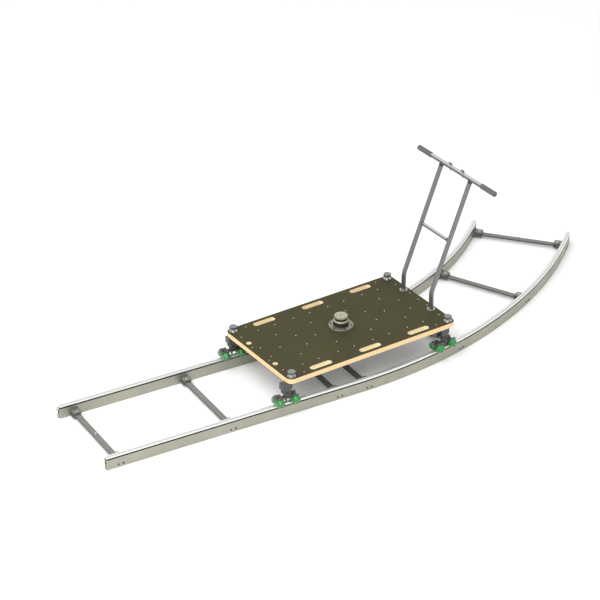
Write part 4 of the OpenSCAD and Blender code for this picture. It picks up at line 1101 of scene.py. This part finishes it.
def add_trucks():
    """At each corner a yoke, its bogie, its knob above the deck and its wheels."""
    knob, wheel, axle = add_knob_shape(), add_wheel_shape(), add_axle_shape()
    for side in TRUCK_SIDES:
        for end in TRUCK_ENDS:
            name = f"{side}_{end}"
            yoke = softened("yoke_cast_" + name, ["yoke_" + name], 1.0, 2, 35)
            show_pins(yoke, yoke_frame(side, end), TRAILS[side])
            finish(yoke, "truck_" + name, "truck", TRUCK, "yoke_" + name)
            bogie = softened("bogie_plate_" + name, ["bogie_" + name], 0.7, 2, 35)
            finish(bogie, "wheels_frame_" + name, "truck", PLATE, "bogie_" + name)
            place = yoke_frame(side, end) @ move(0, 0, DECK_TOP_Z + KNOB_LIFT)
            piece = put(knob, place, "knob_notched_" + name)
            finish(piece, "knob_" + name, "knob", KNOB, "knob_" + name)
            add_wheels(name, side, end, wheel, axle)
    drop(knob, wheel, axle)
    lever = softened("lever_forged", ["brake_lever"], 1.2, 3, 35)
    finish(lever, "lever", "truck", OXIDE, "brake_lever")


# Push bar


def add_push_bar():
    """Tubes, saddles and wing screws: the CAD shapes, smooth or with rounded edges."""
    tubes = (
        ("push_bar_posts", "posts", TUBE),
        ("push_bar_brace", "brace", BAR),
        ("handlebar", "bar_tube", BAR),
    )
    for node, name, material in tubes:
        finish(merged(name, [node]), "push_bar", "tube", material, node, smooth=40)
    # The saddles are near black: painted shade where the tubes meet.
    saddles = softened("saddles", ["push_bar_fittings"], 0.4, 2, 40)
    finish(saddles, "push_bar", "fitting", SADDLE_SHADE, "push_bar_fittings")
    for side in ("near", "far"):
        wing = softened("wing_cast_" + side, ["wing_screw_" + side], 1.0, 2, 35)
        finish(wing, "wing_" + side, "fitting", TUBE, "wing_screw_" + side)


def add_grips():
    """Moulded grips: a thick outer rim, fine finger ribs and a rounded closed end."""
    start, tip, r = BAR_HALF_L - GRIP_L, BAR_HALF_L, GRIP_R
    ribs, pitch = 22, 5
    outline = [(TUBE_FIT_R, start), (r, start), (r, start + 3), (r - 1, start + 4)]
    for number in range(ribs):
        y = start + 6 + number * pitch
        outline += [(r - 1, y), (r - 0.3, y + 0.7), (r - 0.3, y + 2.3), (r - 1, y + 3)]
    outline += [(r - 1, tip - 8), (r, tip - 7), (r, tip - 3)] + arc(r - 3, tip - 3, 3, 0, 90, 5)[1:]
    outline += [(0, tip), (0, tip - 3), (TUBE_FIT_R, tip - 3), (TUBE_FIT_R, start)]
    grip = turned("grip", outline, 48)
    out = []
    for side in (-1, 1):
        place = DECK @ move(BAR_X, 0, BAR_Z) @ turn(-90 * side, "X")
        out.append(put(grip, place, "grip"))
    drop(grip)
    finish(joined("grips_ribbed", out), "push_bar", "grip", GRIP, "handlebar_grips", smooth=35)


# The finishes, each made once

RAIL = rail_aluminium()
TIE = tie_paint()
BRACKET = bracket_iron()
STEEL = bright_steel()
OXIDE = black_oxide()
FILM = deck_film()
BIRCH = birch_edge()
HOLE_PAINTED_LIGHT = birch_hole_painted_light()
INSERT = zinc_insert()
TRUCK = truck_paint()
PLATE = plate_steel()
KNOB = knob_plastic()
URETHANE = urethane()
TUBE = tube_grey()
BAR = bar_aluminium()
SADDLE_SHADE = saddle_black_painted_shade()
GRIP = grip_rubber()
FLANGE = flange_alloy()
CREAM = cream_alloy()
DARK = dark_alloy()

# The whole object, piece by piece

dress_rails()
add_ties()
add_tie_pins()
add_rail_screws()
add_dowels()
add_plungers()
add_deck()
add_inserts()
add_washers()
add_post_sockets()
add_mount()
add_trucks()
add_push_bar()
add_grips()
